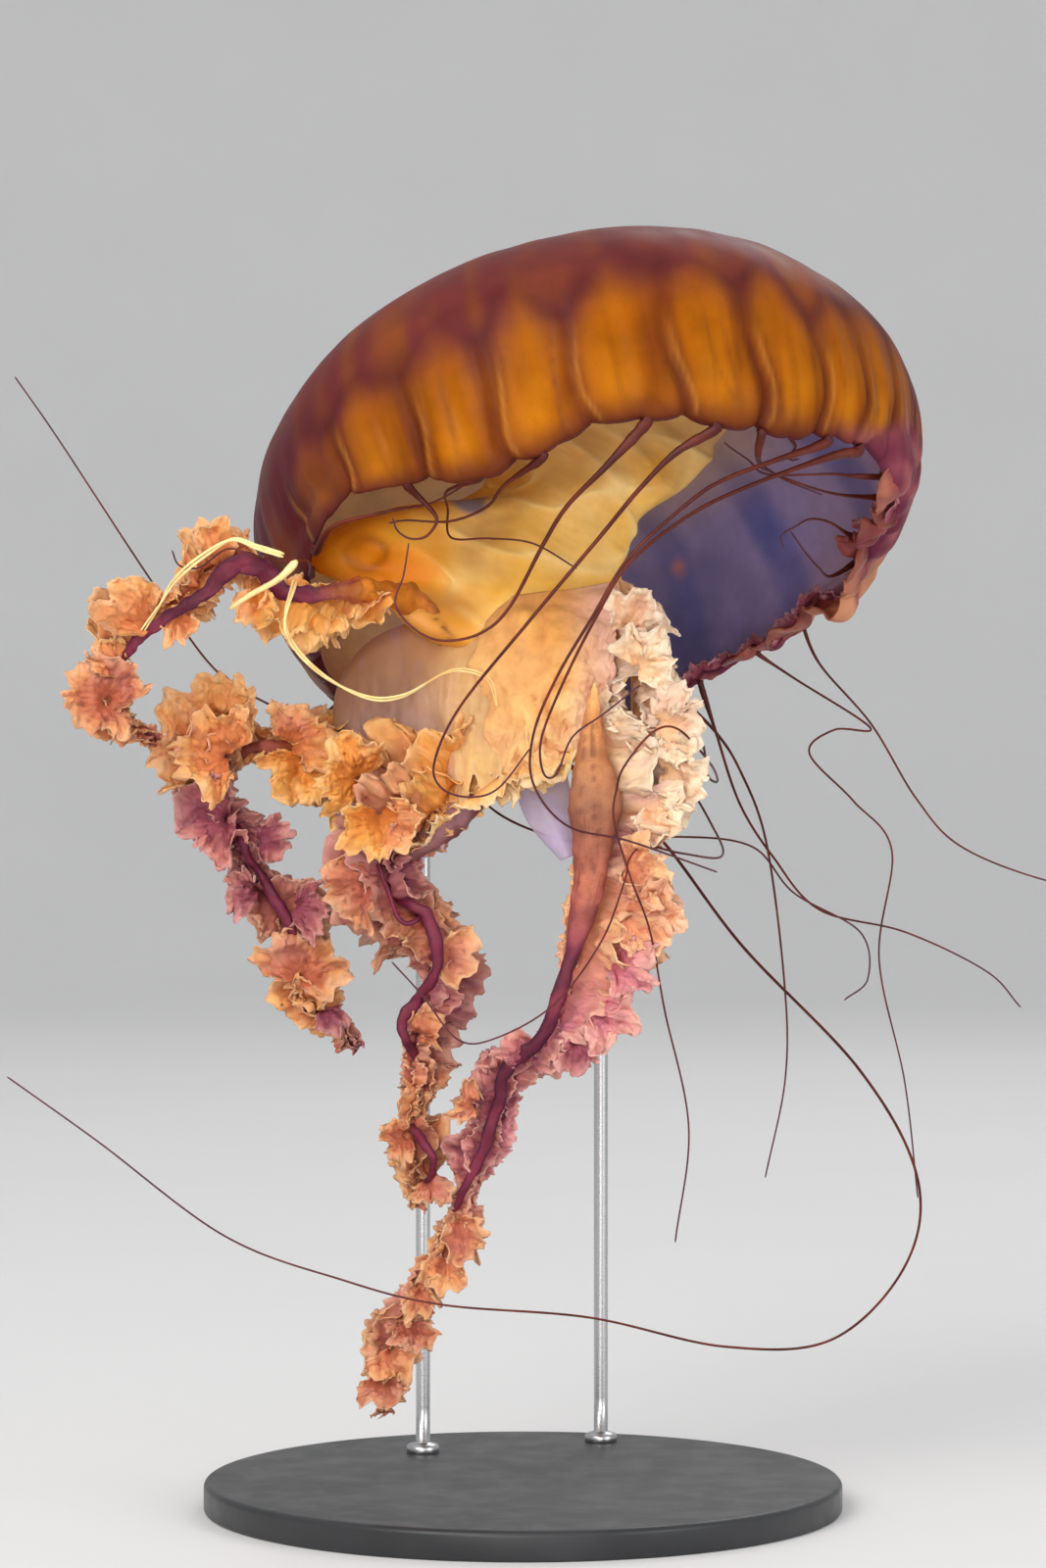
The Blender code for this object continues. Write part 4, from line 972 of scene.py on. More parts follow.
def arm_frills(name, rows, seed, table, bare, blush, shader):
    """The frilled lips down an arm, each from the rib to one side. bare are the stretches, as shares
    of the length, where the rib shows and the foremost lips shrink."""
    dense = smooth_rows(rows, FRILL_SPACING)
    centre = dense[:, :3]
    side = sideways(directions(centre, 30))
    front = np.array([0.0, -1.0, 0.0])
    share = np.linspace(0, 1, len(dense))
    tints = along_tints(share, table)
    shown = np.zeros_like(share)
    for low, high in bare:
        shown += between(low - 0.02, low + 0.01, high - 0.01, high + 0.02, share)
    nodes = [one for one in nodes_of(name) if one[-1].isdigit()]
    for number, lips in enumerate((REAR_LIPS, FRONT_LIPS)):
        patches = []
        for step, (hand, tilt, part) in enumerate(lips):
            lip = dense[:, 3] if hand < 0 else dense[:, 4]
            angle = math.radians(tilt)
            wide = np.maximum(1.14 * lip * part * np.clip((lip / 0.012) ** 0.5, 0.55, 1.0), 0.0020)
            if tilt > FOREMOST:
                wide = wide * (1 - 0.85 * shown)
            out = side * hand * math.cos(angle) + front * math.sin(angle)
            root = centre - side * hand * 0.0012 + front * 0.0022 * math.sin(angle)
            edge = root + out * wide[:, None]
            depth = FRILL_ROWS if tilt > 0 else REAR_ROWS
            own_seed = seed * 31 + number * 20 + step * 5
            patches.append(frill(root, edge, own_seed, tints, rows=depth, blush=blush))
        label = name + ("_frills", "_frills_front")[number]
        make_piece(patches, label, shader, () if number else nodes)


STRAP_SPACING = 0.0010
STREAK_BROWN = rgb(96, 50, 40)


def strap(points, flat, table, seed, lumps, span):
    """A smooth flattened rod along a route; each point's last number is its half width, and flat is its
    half depth as a share of that. table: share of the length, colour at the front, at the edges.
    span is the stretch of the length with stippled lines, if there is one."""
    sides = 32 if span else 16
    rows = smooth_rows(points, STRAP_SPACING)
    path = rows[:, :3] + (0.0, 0.0016, 0.0)
    half = rows[:, 3]
    travel = directions(path, 3)
    side = sideways(travel)
    deep = unit(np.cross(travel, side))
    length = np.arange(len(rows)) * STRAP_SPACING
    share = length / length[-1]
    bulge = 1 + lumps * noise_line(length * 160, seed) + 0.5 * lumps * noise_line(length * 420, seed + 1)
    ends = np.sqrt(np.clip(np.minimum(length, length[-1] - length) / 0.004, 0.03, 1))
    wide = (half * bulge * ends)[:, None]
    inner, outer = (along(share, table, k)[:, None] for k in (1, 2))
    angle = full_turn(sides)
    ring = np.abs(np.cos(angle))[None] * np.ones((len(rows), 1))
    wander = sheet_noise(length[:, None] * 220, ring * 2.0, 0, seed + 2)
    tint = mix(inner, outer, smooth(0.35, 0.98, ring + 0.30 * wander))
    if span:
        grain = sheet_noise(length[:, None] * 420, np.sin(angle)[None] * 4 + 3 * ring, 0, seed + 12)
        across = np.cos(angle)[None] + 0.10 * noise_line(length * 70, seed + 13)[:, None]
        vein = hump(across - 0.12, 0.13) + 0.6 * hump(across + 0.52, 0.16)
        reach = between(span[0], span[0] + 0.04, span[1] - 0.14, span[1], share)
        stippled = 0.85 * vein * reach[:, None] * smooth(-0.25, 0.45, grain)
        tint = mix(tint, STREAK_BROWN, np.clip(stippled, 0, 1))
    solid, quads, tint, uv = tube(path, side * wide, deep * wide * flat, tint, sides)
    lump = noises(solid * 170, (seed + 4, seed + 5, seed + 6))
    lump = lump + 0.4 * noises(solid * 460, (seed + 7, seed + 8, seed + 9))
    solid = solid + 2.0 * lumps * np.median(half) * lump
    dark = smooth(-0.1, 0.6, noise(solid * 110, seed + 10))[:, None]
    place = np.linspace(0, 1, len(solid) // sides)
    dark = dark * np.repeat(smooth(0.15, 0.5, place), sides)[:, None]
    return solid, quads, tint * (1 - dark * (0.42, 0.50, 0.34)), uv


# ---- routes of the parts ----

# ribs of the oral arms: x, y, z, half width in millimetres
RIB_LEFT = metres((
    (-26.2, -48, 347, 1.2), (-30.5, -55, 351.5, 3.4), (-36.5, -60.5, 360, 5.2),
    (-43.5, -64.5, 366.8, 5.8), (-52, -77, 369.7, 5.4), (-60, -89, 370.2, 4.6), (-69.7, -99, 369.5, 4),
    (-82.6, -104, 367.6, 3.6), (-91.8, -104, 369.6, 3.6), (-99.1, -107, 376.3, 4),
    (-107.8, -107, 380.4, 4), (-115.8, -106, 375.6, 3.6), (-123.1, -104, 367.7, 3),
    (-136.3, -103, 360.2, 2.4), (-145.5, -101, 353.1, 2.2), (-152.6, -98, 346.1, 2),
    (-156.6, -92, 339, 1.6), (-159.4, -82, 333.2, 1),
))

RIB_LOWER = metres((
    (-79.8, -36, 313.8, 3), (-89.1, -46, 310.6, 3.2), (-94.2, -60, 309.3, 3), (-100.9, -64, 309.7, 3),
    (-107.2, -62, 308.9, 2.6), (-113.9, -54, 305.9, 2.2), (-117.7, -44, 298.9, 2),
    (-117.7, -44, 287.2, 2), (-114, -52, 278.7, 2), (-111, -62, 271.8, 2), (-108.1, -60, 265.6, 1.9),
    (-104.3, -58, 260.2, 2), (-100.2, -62, 253.3, 2.4), (-94.7, -64, 244.8, 2.4),
    (-90.2, -62, 235.1, 2.2), (-89.6, -58, 227.3, 2), (-90.9, -48, 220.2, 1.4),
))

RIB_CENTRE = metres((
    (-16, -62, 296.5, 6), (-23.7, -68, 286.5, 7), (-34, -70, 276.5, 6), (-43.7, -68, 268.1, 3.3),
    (-50.1, -58, 259.4, 2.5), (-50, -62, 251.7, 2.5), (-44.2, -76, 248.3, 2.3), (-38.1, -79, 244.5, 2.4),
    (-34.2, -79, 235.7, 2.5), (-33.5, -78, 226.1, 2.2), (-36.6, -74, 216.4, 2), (-42.2, -66, 209.5, 2),
    (-46.8, -66, 201.7, 2.3), (-46, -66, 194, 2.1), (-42.4, -58, 187.4, 1.6), (-41.2, -44, 177.9, 1.6),
    (-42.7, -44, 166.2, 1.6), (-43.2, -56, 158.6, 1.6), (-39.9, -66, 155.1, 1.8),
    (-35.6, -68, 148.7, 1.9), (-36.1, -62, 142.1, 1.5), (-39.4, -52, 135, 0.8),
))

RIB_HOOK = metres((
    (-58.4, -76, 268.9, 0.9), (-53.8, -78, 255.6, 0.9), (-48.4, -79, 242.6, 0.9), (-43.8, -78, 240.3, 1),
    (-38.5, -75, 244.8, 1),
))

RIB_RIGHT = metres((
    (28, -84, 335, 1), (26.8, -88, 321.6, 3), (26.4, -92, 308.3, 5.8), (27.5, -96, 295, 9.4),
    (27.8, -96, 285.5, 10.4), (27.5, -95, 277.9, 9), (26.7, -93, 267.7, 7), (25.7, -91, 257, 6.2),
    (23, -89, 243.6, 5.2), (18.9, -86, 228.3, 3), (14.7, -84, 214.9, 2.9), (10.1, -82, 201.1, 2.7),
    (4.4, -80, 192.6, 2.7), (-2.9, -78, 187.9, 2.9), (-8.2, -76, 180.1, 2.6), (-8.6, -74, 172.3, 2.4),
    (-11.7, -72, 163.7, 2.4), (-14.4, -70, 154.7, 2.3), (-17.9, -68, 145.7, 2.1),
    (-22.9, -66, 136.2, 1.7), (-27.6, -60, 124.9, 0.9),
))

# the mouth's curtain: points of its root and its edge side by side
CURTAIN = metres((
    (-76.7, -34, 317.8, -82.5, -44, 298.1), (-73.5, -36, 335.2, -73.1, -54, 281),
    (-62.2, -40, 351.3, -54.7, -62, 272.6), (-42.5, -46, 359.6, -35.2, -68, 275.8),
    (-23.8, -56, 357.2, -20.8, -72, 288.1), (-10, -62, 346.4, -9.2, -72, 296.8),
    (1, -56, 336.4, 0, -66, 301.8),
))

# frills of the mouth: seed, colours, then points of the root and the edge side by side
MOUTH_FRILLS = (
    (85, "cream", (
        (-29.2, -58, 316.7, -35.3, -64, 292.7), (-12.9, -62, 319.7, -16.7, -70, 291.9),
        (2.5, -66, 319.7, 2.5, -78, 291.2), (14, -68, 317.3, 14.7, -82, 295))),
    (95, "pale", (
        (37.7, -40, 377.1, 57, -48, 368.2), (41.5, -46, 357.4, 62.2, -56, 348.5),
        (42.9, -54, 333.8, 65.8, -64, 327.8), (41.9, -62, 308.5, 69.4, -70, 300.8),
        (38, -64, 283.4, 64, -70, 272.7))),
    (100, "pale", (
        (41.6, -44, 373, 49.7, -60, 360), (42.9, -52, 351.3, 51.6, -74, 337.2),
        (43.5, -60, 327.9, 54.4, -82, 316), (41.8, -66, 304.6, 57.4, -84, 295),
        (37.2, -66, 285.4, 49.8, -82, 273.6))),
    (105, "pale", (
        (34.4, -50, 372.8, 40.9, -70, 356.5), (35.8, -56, 353.1, 43.8, -80, 337),
        (38, -62, 331.7, 44.4, -86, 317.9), (39.5, -66, 308.5, 46.6, -88, 296.9))),
)


# ---- the stalk and the stomach ----

STALK_COLUMNS = 300
STALK_SPACING = 0.0010
IN_THE_WALL = 0.0012      # how far the stalk's root lies inside the bell's wall
# swellings of the stalk: direction in degrees, reach, height, half height, spread in radians
BULGES = ((207, 0.049, 0.3900, 0.0205, 0.40), (217.5, 0.030, 0.3600, 0.0140, 0.30))


def level_ring(centre, wide, deep, height, angle):
    """The points of a level ring round a centre."""
    return np.stack([centre[0] + wide * np.cos(angle), centre[1] + deep * np.sin(angle),
                     np.full_like(angle, height)], -1)


def stalk_rings(phi):
    """Rings from inside the bell's wall down the stalk, with its swellings, to a closed end."""
    rings = []
    for u in (0.02, 0.05, 0.09, 0.13, 0.18):
        level = np.full_like(phi, u)
        rings.append(tip_over(bell_local(phi, level) + inward(phi, level) * (CROWN_WALL - IN_THE_WALL)))
    top = rings[-1]
    corner = 1 + 0.07 * np.cos(4 * phi + 0.6)
    away = np.stack([np.cos(phi), np.sin(phi)], -1)
    stalk = []
    for x, y, z, wide, deep in smooth_rows(MANUBRIUM, STALK_SPACING):
        ring = level_ring((x, y), wide * corner, deep * corner, z, phi)
        for degrees, reach, level, half, spread in BULGES:
            off = np.abs(np.mod(phi - math.radians(degrees) + math.pi, 2 * math.pi) - math.pi)
            tall = max(0.0, 1 - ((z - level) / half) ** 2) ** 0.55
            swell = np.exp(-(off / (spread * (0.6 + 0.4 * tall))) ** 2.4)
            ring[:, :2] += away * (reach * tall * swell)[:, None]
        stalk.append(ring)
    for t in (0.2, 0.4, 0.6, 0.8):
        ease = smooth(0, 1, t)
        blend = top + (stalk[0] - top) * t
        blend[:, :2] = top[:, :2] + (stalk[0][:, :2] - top[:, :2]) * ease
        rings.append(blend)
    rings += stalk
    last = rings[-1]
    centre = last.mean(0)
    for t in (0.7, 0.35, 0.05):
        rings.append(centre + (last - centre) * t - np.array([0, 0, 0.004 * (1 - t)]))
    return np.array(rings)


def manubrium_tint(wall, across, height, drape, dimple, front):
    """Cream and amber folds with painted shade in their troughs and a painted highlight on their crests, the
    orange stomach with its dimple, the root of the left arm with a stippled line, a warm spot, and painted
    shade in the hollow beside the stomach."""
    cloud = fractal(wall * 45, 63)
    tint = mix(rgb(248, 186, 76), rgb(246, 200, 118), smooth(-0.5, 0.6, cloud))
    tint = mix(tint, rgb(232, 184, 122), smooth(0.400, 0.440, height) * 0.5)
    # painted shade in the troughs of the soft folds and a painted highlight on their crests
    tint = mix(tint, rgb(214, 150, 78), smooth(0.1, 0.9, -drape) * 0.40)
    tint = mix(tint, rgb(252, 224, 160), smooth(0.45, 1.0, drape) * 0.40)
    left = 1 - smooth(-0.056, -0.012, across + 0.008 * cloud)
    orange = mix(rgb(234, 136, 10), rgb(246, 178, 56), smooth(-0.4, 0.6, cloud))
    tint = mix(tint, orange, left * smooth(0.362, 0.378, height))
    ring = hump(dimple - 0.0062, 0.0024) * front
    tint = mix(tint, rgb(176, 94, 8), ring * 0.75)
    root = (1 - smooth(-0.034, -0.008, across + 0.005 * cloud)) * (1 - smooth(0.366, 0.376, height))
    tint = mix(tint, rgb(196, 120, 36), root * 0.75)
    streak = across + 0.0334 + (height - 0.3600) * 0.72
    grain = smooth(-0.1, 0.5, noise(wall * 900, 66) + 0.5 * noise(wall * 300, 67))
    vein = hump(streak, 0.0020) * between(0.349, 0.354, 0.368, 0.373, height)
    tint = mix(tint, rgb(104, 48, 14), vein * (0.30 + 0.65 * grain) * root)
    spot = hump(across - 0.053, 0.008) * hump(height - 0.423, 0.010)
    tint = mix(tint, rgb(236, 170, 60), spot * 0.9)
    # painted shade: a dark bluish-grey patch on the front of the stalk, in the hollow beside the stomach
    aside = across + 0.0216
    hollow = hump(aside, 0.0095) * hump(height - 0.4120 + 0.25 * aside, 0.0090)
    shade = smooth(0.30, 0.62, hollow + 0.10 * cloud) * smooth(-0.005, -0.015, wall[..., 1])
    return mix(tint, rgb(108, 112, 150), shade * 0.85)


def make_manubrium(shader):
    """The stalk under the crown, with the soft orange stomach and the root of the left arm swelling
    out of it, all in one skin."""
    wall = stalk_rings(full_turn(STALK_COLUMNS))
    # the edges of the swellings are softened by averaging each ring with its neighbours
    for _ in range(6):
        wall[6:-4] = 0.25 * wall[5:-5] + 0.5 * wall[6:-4] + 0.25 * wall[7:-3]
    # long soft folds that sweep down the stalk, like wet cloth, and the stomach's dimple
    across, height = wall[..., 0].copy(), wall[..., 2].copy()
    slant = np.stack([across * 38 + height * 62, height * 24 - across * 16, wall[..., 1] * 26], -1)
    drape = 1 - 2 * np.abs(noise(slant, 61)) ** 0.8
    body = smooth(0, 8, np.arange(len(wall)))[:, None]
    outward = unit(wall - wall.mean(1, keepdims=True))
    front = smooth(-0.030, -0.040, wall[..., 1])
    dimple = np.hypot(across + 0.0620, height - 0.3860)
    lift = 0.0018 * drape + 0.0034 * fractal(wall * 36, 62) + 0.0006 * fractal(slant * 3.1, 65)
    lift = lift - 0.0040 * hump(dimple, 0.0045) * front
    lift = lift + 0.0012 * hump(dimple - 0.008, 0.003) * front
    wall = wall + outward * (lift * body)[..., None]
    tint = manubrium_tint(wall, across, height, drape, dimple, front)
    make_rings(wall, tint, "manubrium_skin", shader, ["manubrium", "orange_lobe"])


# ---- tentacles and filaments ----

TENTACLE_MAROON = rgb(72, 22, 16)
TENTACLE_SPACING = 0.0009
TENTACLE_TIP = 0.00034    # least half width
FILAMENT_CREAM = rgb(240, 214, 150)
FILAMENT_TAN = rgb(222, 180, 110)
FILAMENT_SPACING = 0.0008
STRAND_GAP = 0.00062      # from a paired strand to the middle of its pair
TUBE_SIDES = 8


def margin_root(degrees, radius):
    """A place just clear of the margin's edge, where a tentacle starts."""
    phi = np.array([math.radians(degrees)])
    margin = np.array([1.0])
    local = bell_local(phi, margin) + inward(phi, margin) * MARGIN_WALL / 2
    local[:, 2] -= 0.0009 + 1.15 * radius
    return tip_over(local)[0]


def make_tentacles(shader):
    """Tapered tubes, with a thick knotted start where each leaves the margin."""
    patches = []
    for number, (degrees, radius, points) in enumerate(TENTACLES):
        radius = radius / 1000
        start = margin_root(degrees, radius)
        path = smooth_rows(np.vstack([start + (0.0, 0.0, 0.0025), start, metres(points)]), TENTACLE_SPACING)
        length = lengths(path)
        share = length / length[-1]
        thin = TENTACLE_TIP + (0.46 * radius - TENTACLE_TIP) * (1 - share) ** 1.2
        thick = radius * hump(length, 0.010 + 4 * radius)
        knots = 1 + 0.22 * noise_line(length * 260, number) + 0.16 * noise_line(length * 620, number + 40)
        half = thin * (1 + 0.06 * noise_line(length * 300, number + 80)) + thick * 0.55 * knots
        half = half * np.sqrt(np.clip((length[-1] - length) / 0.001, 0.15, 1))
        first, second = steady_frames(path)
        flat = 1 + 0.28 * noise_line(length * 180, number + 120) * np.exp(-length / 0.02)
        tone = smooth(-0.5, 0.7, noise_line(length * 90, number + 160))
        tint = mix(TENTACLE_MAROON, rgb(104, 40, 24), tone)
        tint = mix(tint, rgb(74, 22, 20), np.exp(-length / 0.012) * 0.8)
        tint = mix(tint, rgb(74, 44, 64), smooth(0.55, 1.0, share) * 0.55)
        wide, deep = first * (half * flat)[:, None], second * (half / flat)[:, None]
        patches.append(tube(path, wide, deep, tint, TUBE_SIDES))
    make_piece(patches, "tentacles_all", shader, nodes_of("tentacle_"))


def make_filaments(shader):
    """Loose cream strands, single or in a twisted pair."""
    patches = []
    for number, (strands, radius, points) in enumerate(FILAMENTS):
        path = smooth_rows(metres(points), FILAMENT_SPACING)
        length = lengths(path)
        first, second = steady_frames(path)
        twist, gap, part = (75, STRAND_GAP, 0.60) if strands == 2 else (0, 0.0, 0.95)
        for strand in range(strands):
            angle = length * twist + math.pi * strand + 0.6 * noise_line(length * 60, number)
            apart = gap * (1 + 0.7 * noise_line(length * 50, number + strand))
            aside = first * np.cos(angle)[:, None] + second * np.sin(angle)[:, None]
            half = radius / 1000 * part * (1 + 0.16 * noise_line(length * 240, number + 5 * strand))
            half = half * (1 - 0.45 * length / length[-1])
            half = half * np.sqrt(np.clip(np.minimum(length, length[-1] - length) / 0.0015, 0.2, 1))
            tone = smooth(0.0, 0.8, noise_line(length * 120, number + 9))
            tint = mix(FILAMENT_CREAM, FILAMENT_TAN, tone)
            line = path + aside * apart[:, None]
            patches.append(tube(line, first * half[:, None], second * half[:, None], tint, TUBE_SIDES))
    make_piece(patches, "filaments_all", shader, nodes_of("filament_"))


# ---- stand ----

# profile of a rod's collar: share of the rod's radius, height above the plate
COLLAR = ((0.9, 0.0), (2.3, 0.0), (2.3, 0.0035), (2.1, 0.0045), (1.35, 0.0052), (1.0, 0.0056), (1.0, 0.02))


def lathe(name, profile, centre, columns, shader, replaced):
    """A turned piece from a profile of (radius, height), closed at both ends."""
    angle = full_turn(columns)
    profile = [(0.0004, profile[0][1])] + profile + [(0.0004, profile[-1][1])]
    rings = np.array([level_ring(centre, r, r, z, angle) for r, z in profile])
    make_rings(rings, np.full_like(rings, 0.5), name, shader, [replaced])


def make_stand(paint, steel):
    """The round plate with its rounded edge, and the two rods with small collars and domed tops."""
    r, top = BASE_RADIUS, BASE_HEIGHT
    profile = [(0.06, 0.0), (r - 0.0012, 0.0), (r - 0.0004, 0.0004), (r, 0.0012)]
    for angle in np.linspace(0, math.pi / 2, 9):
        profile.append((r - BASE_EDGE * (1 - math.cos(angle)), top - BASE_EDGE * (1 - math.sin(angle))))
    profile += [(r - 0.006, top), (0.06, top)]
    lathe("stand_base_plate", profile, (0, 0), 160, paint, "stand_base")
    foot = BASE_HEIGHT - 0.001
    for name in ("stand_rod_right", "stand_rod_left"):
        low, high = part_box(name)
        r, top = ROD_RADIUS, high.z - ROD_RADIUS
        profile = [(r * part, foot + rise) for part, rise in COLLAR]
        profile += [(r, foot + (top - foot) * k / 12) for k in range(1, 13)]
        dome = [math.radians(degrees) for degrees in (15, 30, 45, 60, 75, 85)]
        profile += [(r * math.cos(angle), top + r * math.sin(angle)) for angle in dome]
        centre = ((low.x + high.x) / 2, (low.y + high.y) / 2)
        lathe(name + "_turned", profile, centre, 40, steel, name)


# ---- room, lights and camera ----

ROOM_COLUMNS = 96
FLOOR_RADIUS = 4.0
ROOM_BEND = 2.5           # radius of the bend from the floor up into the wall
WALL_TOP = 5.0
# the softboxes: name, place, aim, size, power, colour
LIGHTS = (
    ("key_softbox", (-1.4, -2.2, 2.0), (0, 0, 0.33), 1.8, 56, (1.0, 0.97, 0.93)),
    ("fill_softbox", (2.2, -1.8, 0.9), (0, 0, 0.35), 1.8, 26, (0.97, 0.98, 1.0)),
    ("rear_softbox", (0.9, 2.4, 2.6), (0, 0, 0.35), 1.8, 20, (1.0, 0.98, 0.96)),
    ("low_softbox", (-0.3, -2.3, 0.40), (0, 0, 0.38), 1.4, 22, (1.0, 0.98, 0.95)),
)
CAMERA_PLACE = (0.0, -1.8, 0.295)
CAMERA_LENS = 101.25      # focal length in millimetres
SENSOR_WIDTH = 36.0       # in millimetres


def make_room(shader):
    """A wide pale floor that curves up into a round wall far from the object."""
    profile = [(0.002, 0.0), (1.0, 0.0), (2.5, 0.0), (FLOOR_RADIUS, 0.0)]
    for degrees in range(6, 91, 6):
        angle = math.radians(degrees)
        profile.append((FLOOR_RADIUS + ROOM_BEND * math.sin(angle), ROOM_BEND - ROOM_BEND * math.cos(angle)))
    profile.append((FLOOR_RADIUS + ROOM_BEND, WALL_TOP))
    angle = full_turn(ROOM_COLUMNS)
    points = np.concatenate([level_ring((0, 0), r, r, z, angle) for r, z in profile])
    quads, uv = grid(len(profile), ROOM_COLUMNS, 0, 1, wrap=True)
    make_object("studio_floor", points, quads, np.ones_like(points), uv, shader)


def make_lights():
    """A pale even surround and four round softboxes that the camera doesn't see."""
    world = bpy.data.worlds.new("studio_air")
    world.use_nodes = True
    background = world.node_tree.nodes["Background"]
    background.inputs["Color"].default_value = (0.97, 0.98, 1.0, 1.0)
    background.inputs["Strength"].default_value = 0.66
    bpy.context.scene.world = world
    for name, place, target, size, power, colour in LIGHTS:
        data = bpy.data.lights.new(name, "AREA")
        data.shape = "DISK"
        data.size = size
        data.energy = power
        data.color = colour
        made = bpy.data.objects.new(name, data)
        bpy.context.scene.collection.objects.link(made)
        made.location = place
        aim = Vector(target) - Vector(place)
        made.rotation_euler = aim.to_track_quat("-Z", "Y").to_euler()
        made.visible_camera = False


def make_camera():
    """A level camera at the height of the animal's middle."""
    data = bpy.data.cameras.new("view_camera")
    data.lens = CAMERA_LENS
    data.sensor_width = SENSOR_WIDTH
    data.clip_end = 60.0
    made = bpy.data.objects.new("view_camera", data)
    made.location = CAMERA_PLACE
    made.rotation_euler = (math.radians(90), 0.0, 0.0)
    bpy.context.scene.collection.objects.link(made)
    bpy.context.scene.camera = made
    bpy.context.scene.view_settings.view_transform = "Standard"
    bpy.context.scene.view_settings.look = "None"


# ---- oral arms ----

# frilled lips: name, rows, seed, colours (share of the length and name), stretches where the rib
# shows, strength of the blush. The left arm's first three rows lie inside the stalk's skin.
LIPS = (
    ("arm_left", ARM_LEFT[3:], 1, ((0.22, "golden"), (0.32, "peach"), (0.75, "peach"), (1, "tan")),
     ((-0.1, 0.30), (0.38, 0.50), (0.58, 0.66)), 0.15),
    ("arm_lower", ARM_LOWER, 2, (
        (0.30, "golden"), (0.40, "tan"), (0.52, "mauve"), (0.64, "mauve"), (0.76, "tan"), (0.88, "peach"),
        (0.94, "tan"), (1, "mauve")), ((0.30, 0.37), (0.58, 0.80)), 0.3),
    ("arm_centre", ARM_CENTRE, 3, (
        (0.18, "golden"), (0.32, "mauve"), (0.46, "tan"), (0.6, "rosy"), (0.8, "tan"), (1, "coral")),
     ((-0.1, 0.12), (0.34, 0.56), (0.62, 0.70), (0.84, 0.91)), 0.15),
    ("arm_right", ARM_RIGHT, 4, (
        (0.15, "creamy"), (0.22, "pink"), (0.34, "pink"), (0.44, "lilac"), (0.54, "rosy"), (0.66, "rosy"),
        (0.76, "coral")), ((-0.1, 0.76),), 0.4),
)

MAROON = (rgb(114, 38, 58), rgb(84, 24, 50))
AMBER_STRIP = (rgb(206, 124, 30), rgb(170, 84, 24))
TAN_STRIP = (rgb(154, 100, 72), rgb(126, 76, 56))
# ribs: name, route, seed, flatness, size of the lumps, stretch with stippled lines (or none), then the
# colours: share of the length, colour at the front, colour at the edges
RIBS = (
    ("arm_left_rib", RIB_LEFT, 12, 0.20, 0.18, (-0.04, 0.26), (
        (0, rgb(124, 66, 22), rgb(196, 122, 40)), (0.09, rgb(166, 94, 26), rgb(140, 78, 24)),
        (0.30,) + AMBER_STRIP, (0.44,) + MAROON)),
    ("arm_lower_rib", RIB_LOWER, 13, 0.6, 0.18, None, (
        (0, rgb(190, 110, 50), rgb(160, 84, 44)), (0.20, rgb(140, 70, 50), rgb(110, 48, 46)),
        (0.45,) + MAROON)),
    ("arm_centre_rib", RIB_CENTRE, 14, 0.6, 0.18, None, (
        (0, rgb(150, 112, 124), rgb(116, 62, 62)), (0.18, rgb(146, 96, 92), rgb(104, 50, 54)),
        (0.30,) + MAROON)),
    ("arm_centre_hook", RIB_HOOK, 15, 0.8, 0.18, None, ((0,) + MAROON,)),
    ("arm_right_rib", RIB_RIGHT, 13, 0.36, 0.09, (0.05, 0.44), (
        (0, rgb(236, 182, 116), rgb(222, 160, 96)), (0.07, rgb(206, 140, 84), rgb(180, 112, 66)),
        (0.22,) + TAN_STRIP, (0.36, rgb(184, 108, 84), rgb(146, 74, 64)),
        (0.46, rgb(146, 68, 78), rgb(112, 46, 62)), (0.60,) + MAROON)),
)


def make_arms(frill_flesh, rib_flesh):
    """The four oral arms: frilled lips, fans of frill and the smooth rib that shows down each."""
    for name, rows, seed, table, bare, blush in LIPS:
        arm_frills(name, rows, seed, table, bare, blush, frill_flesh)
    make_rosettes(frill_flesh)
    for name, points, seed, flat, lumps, span, table in RIBS:
        make_piece([strap(points, flat, table, seed, lumps, span)], name, rib_flesh)


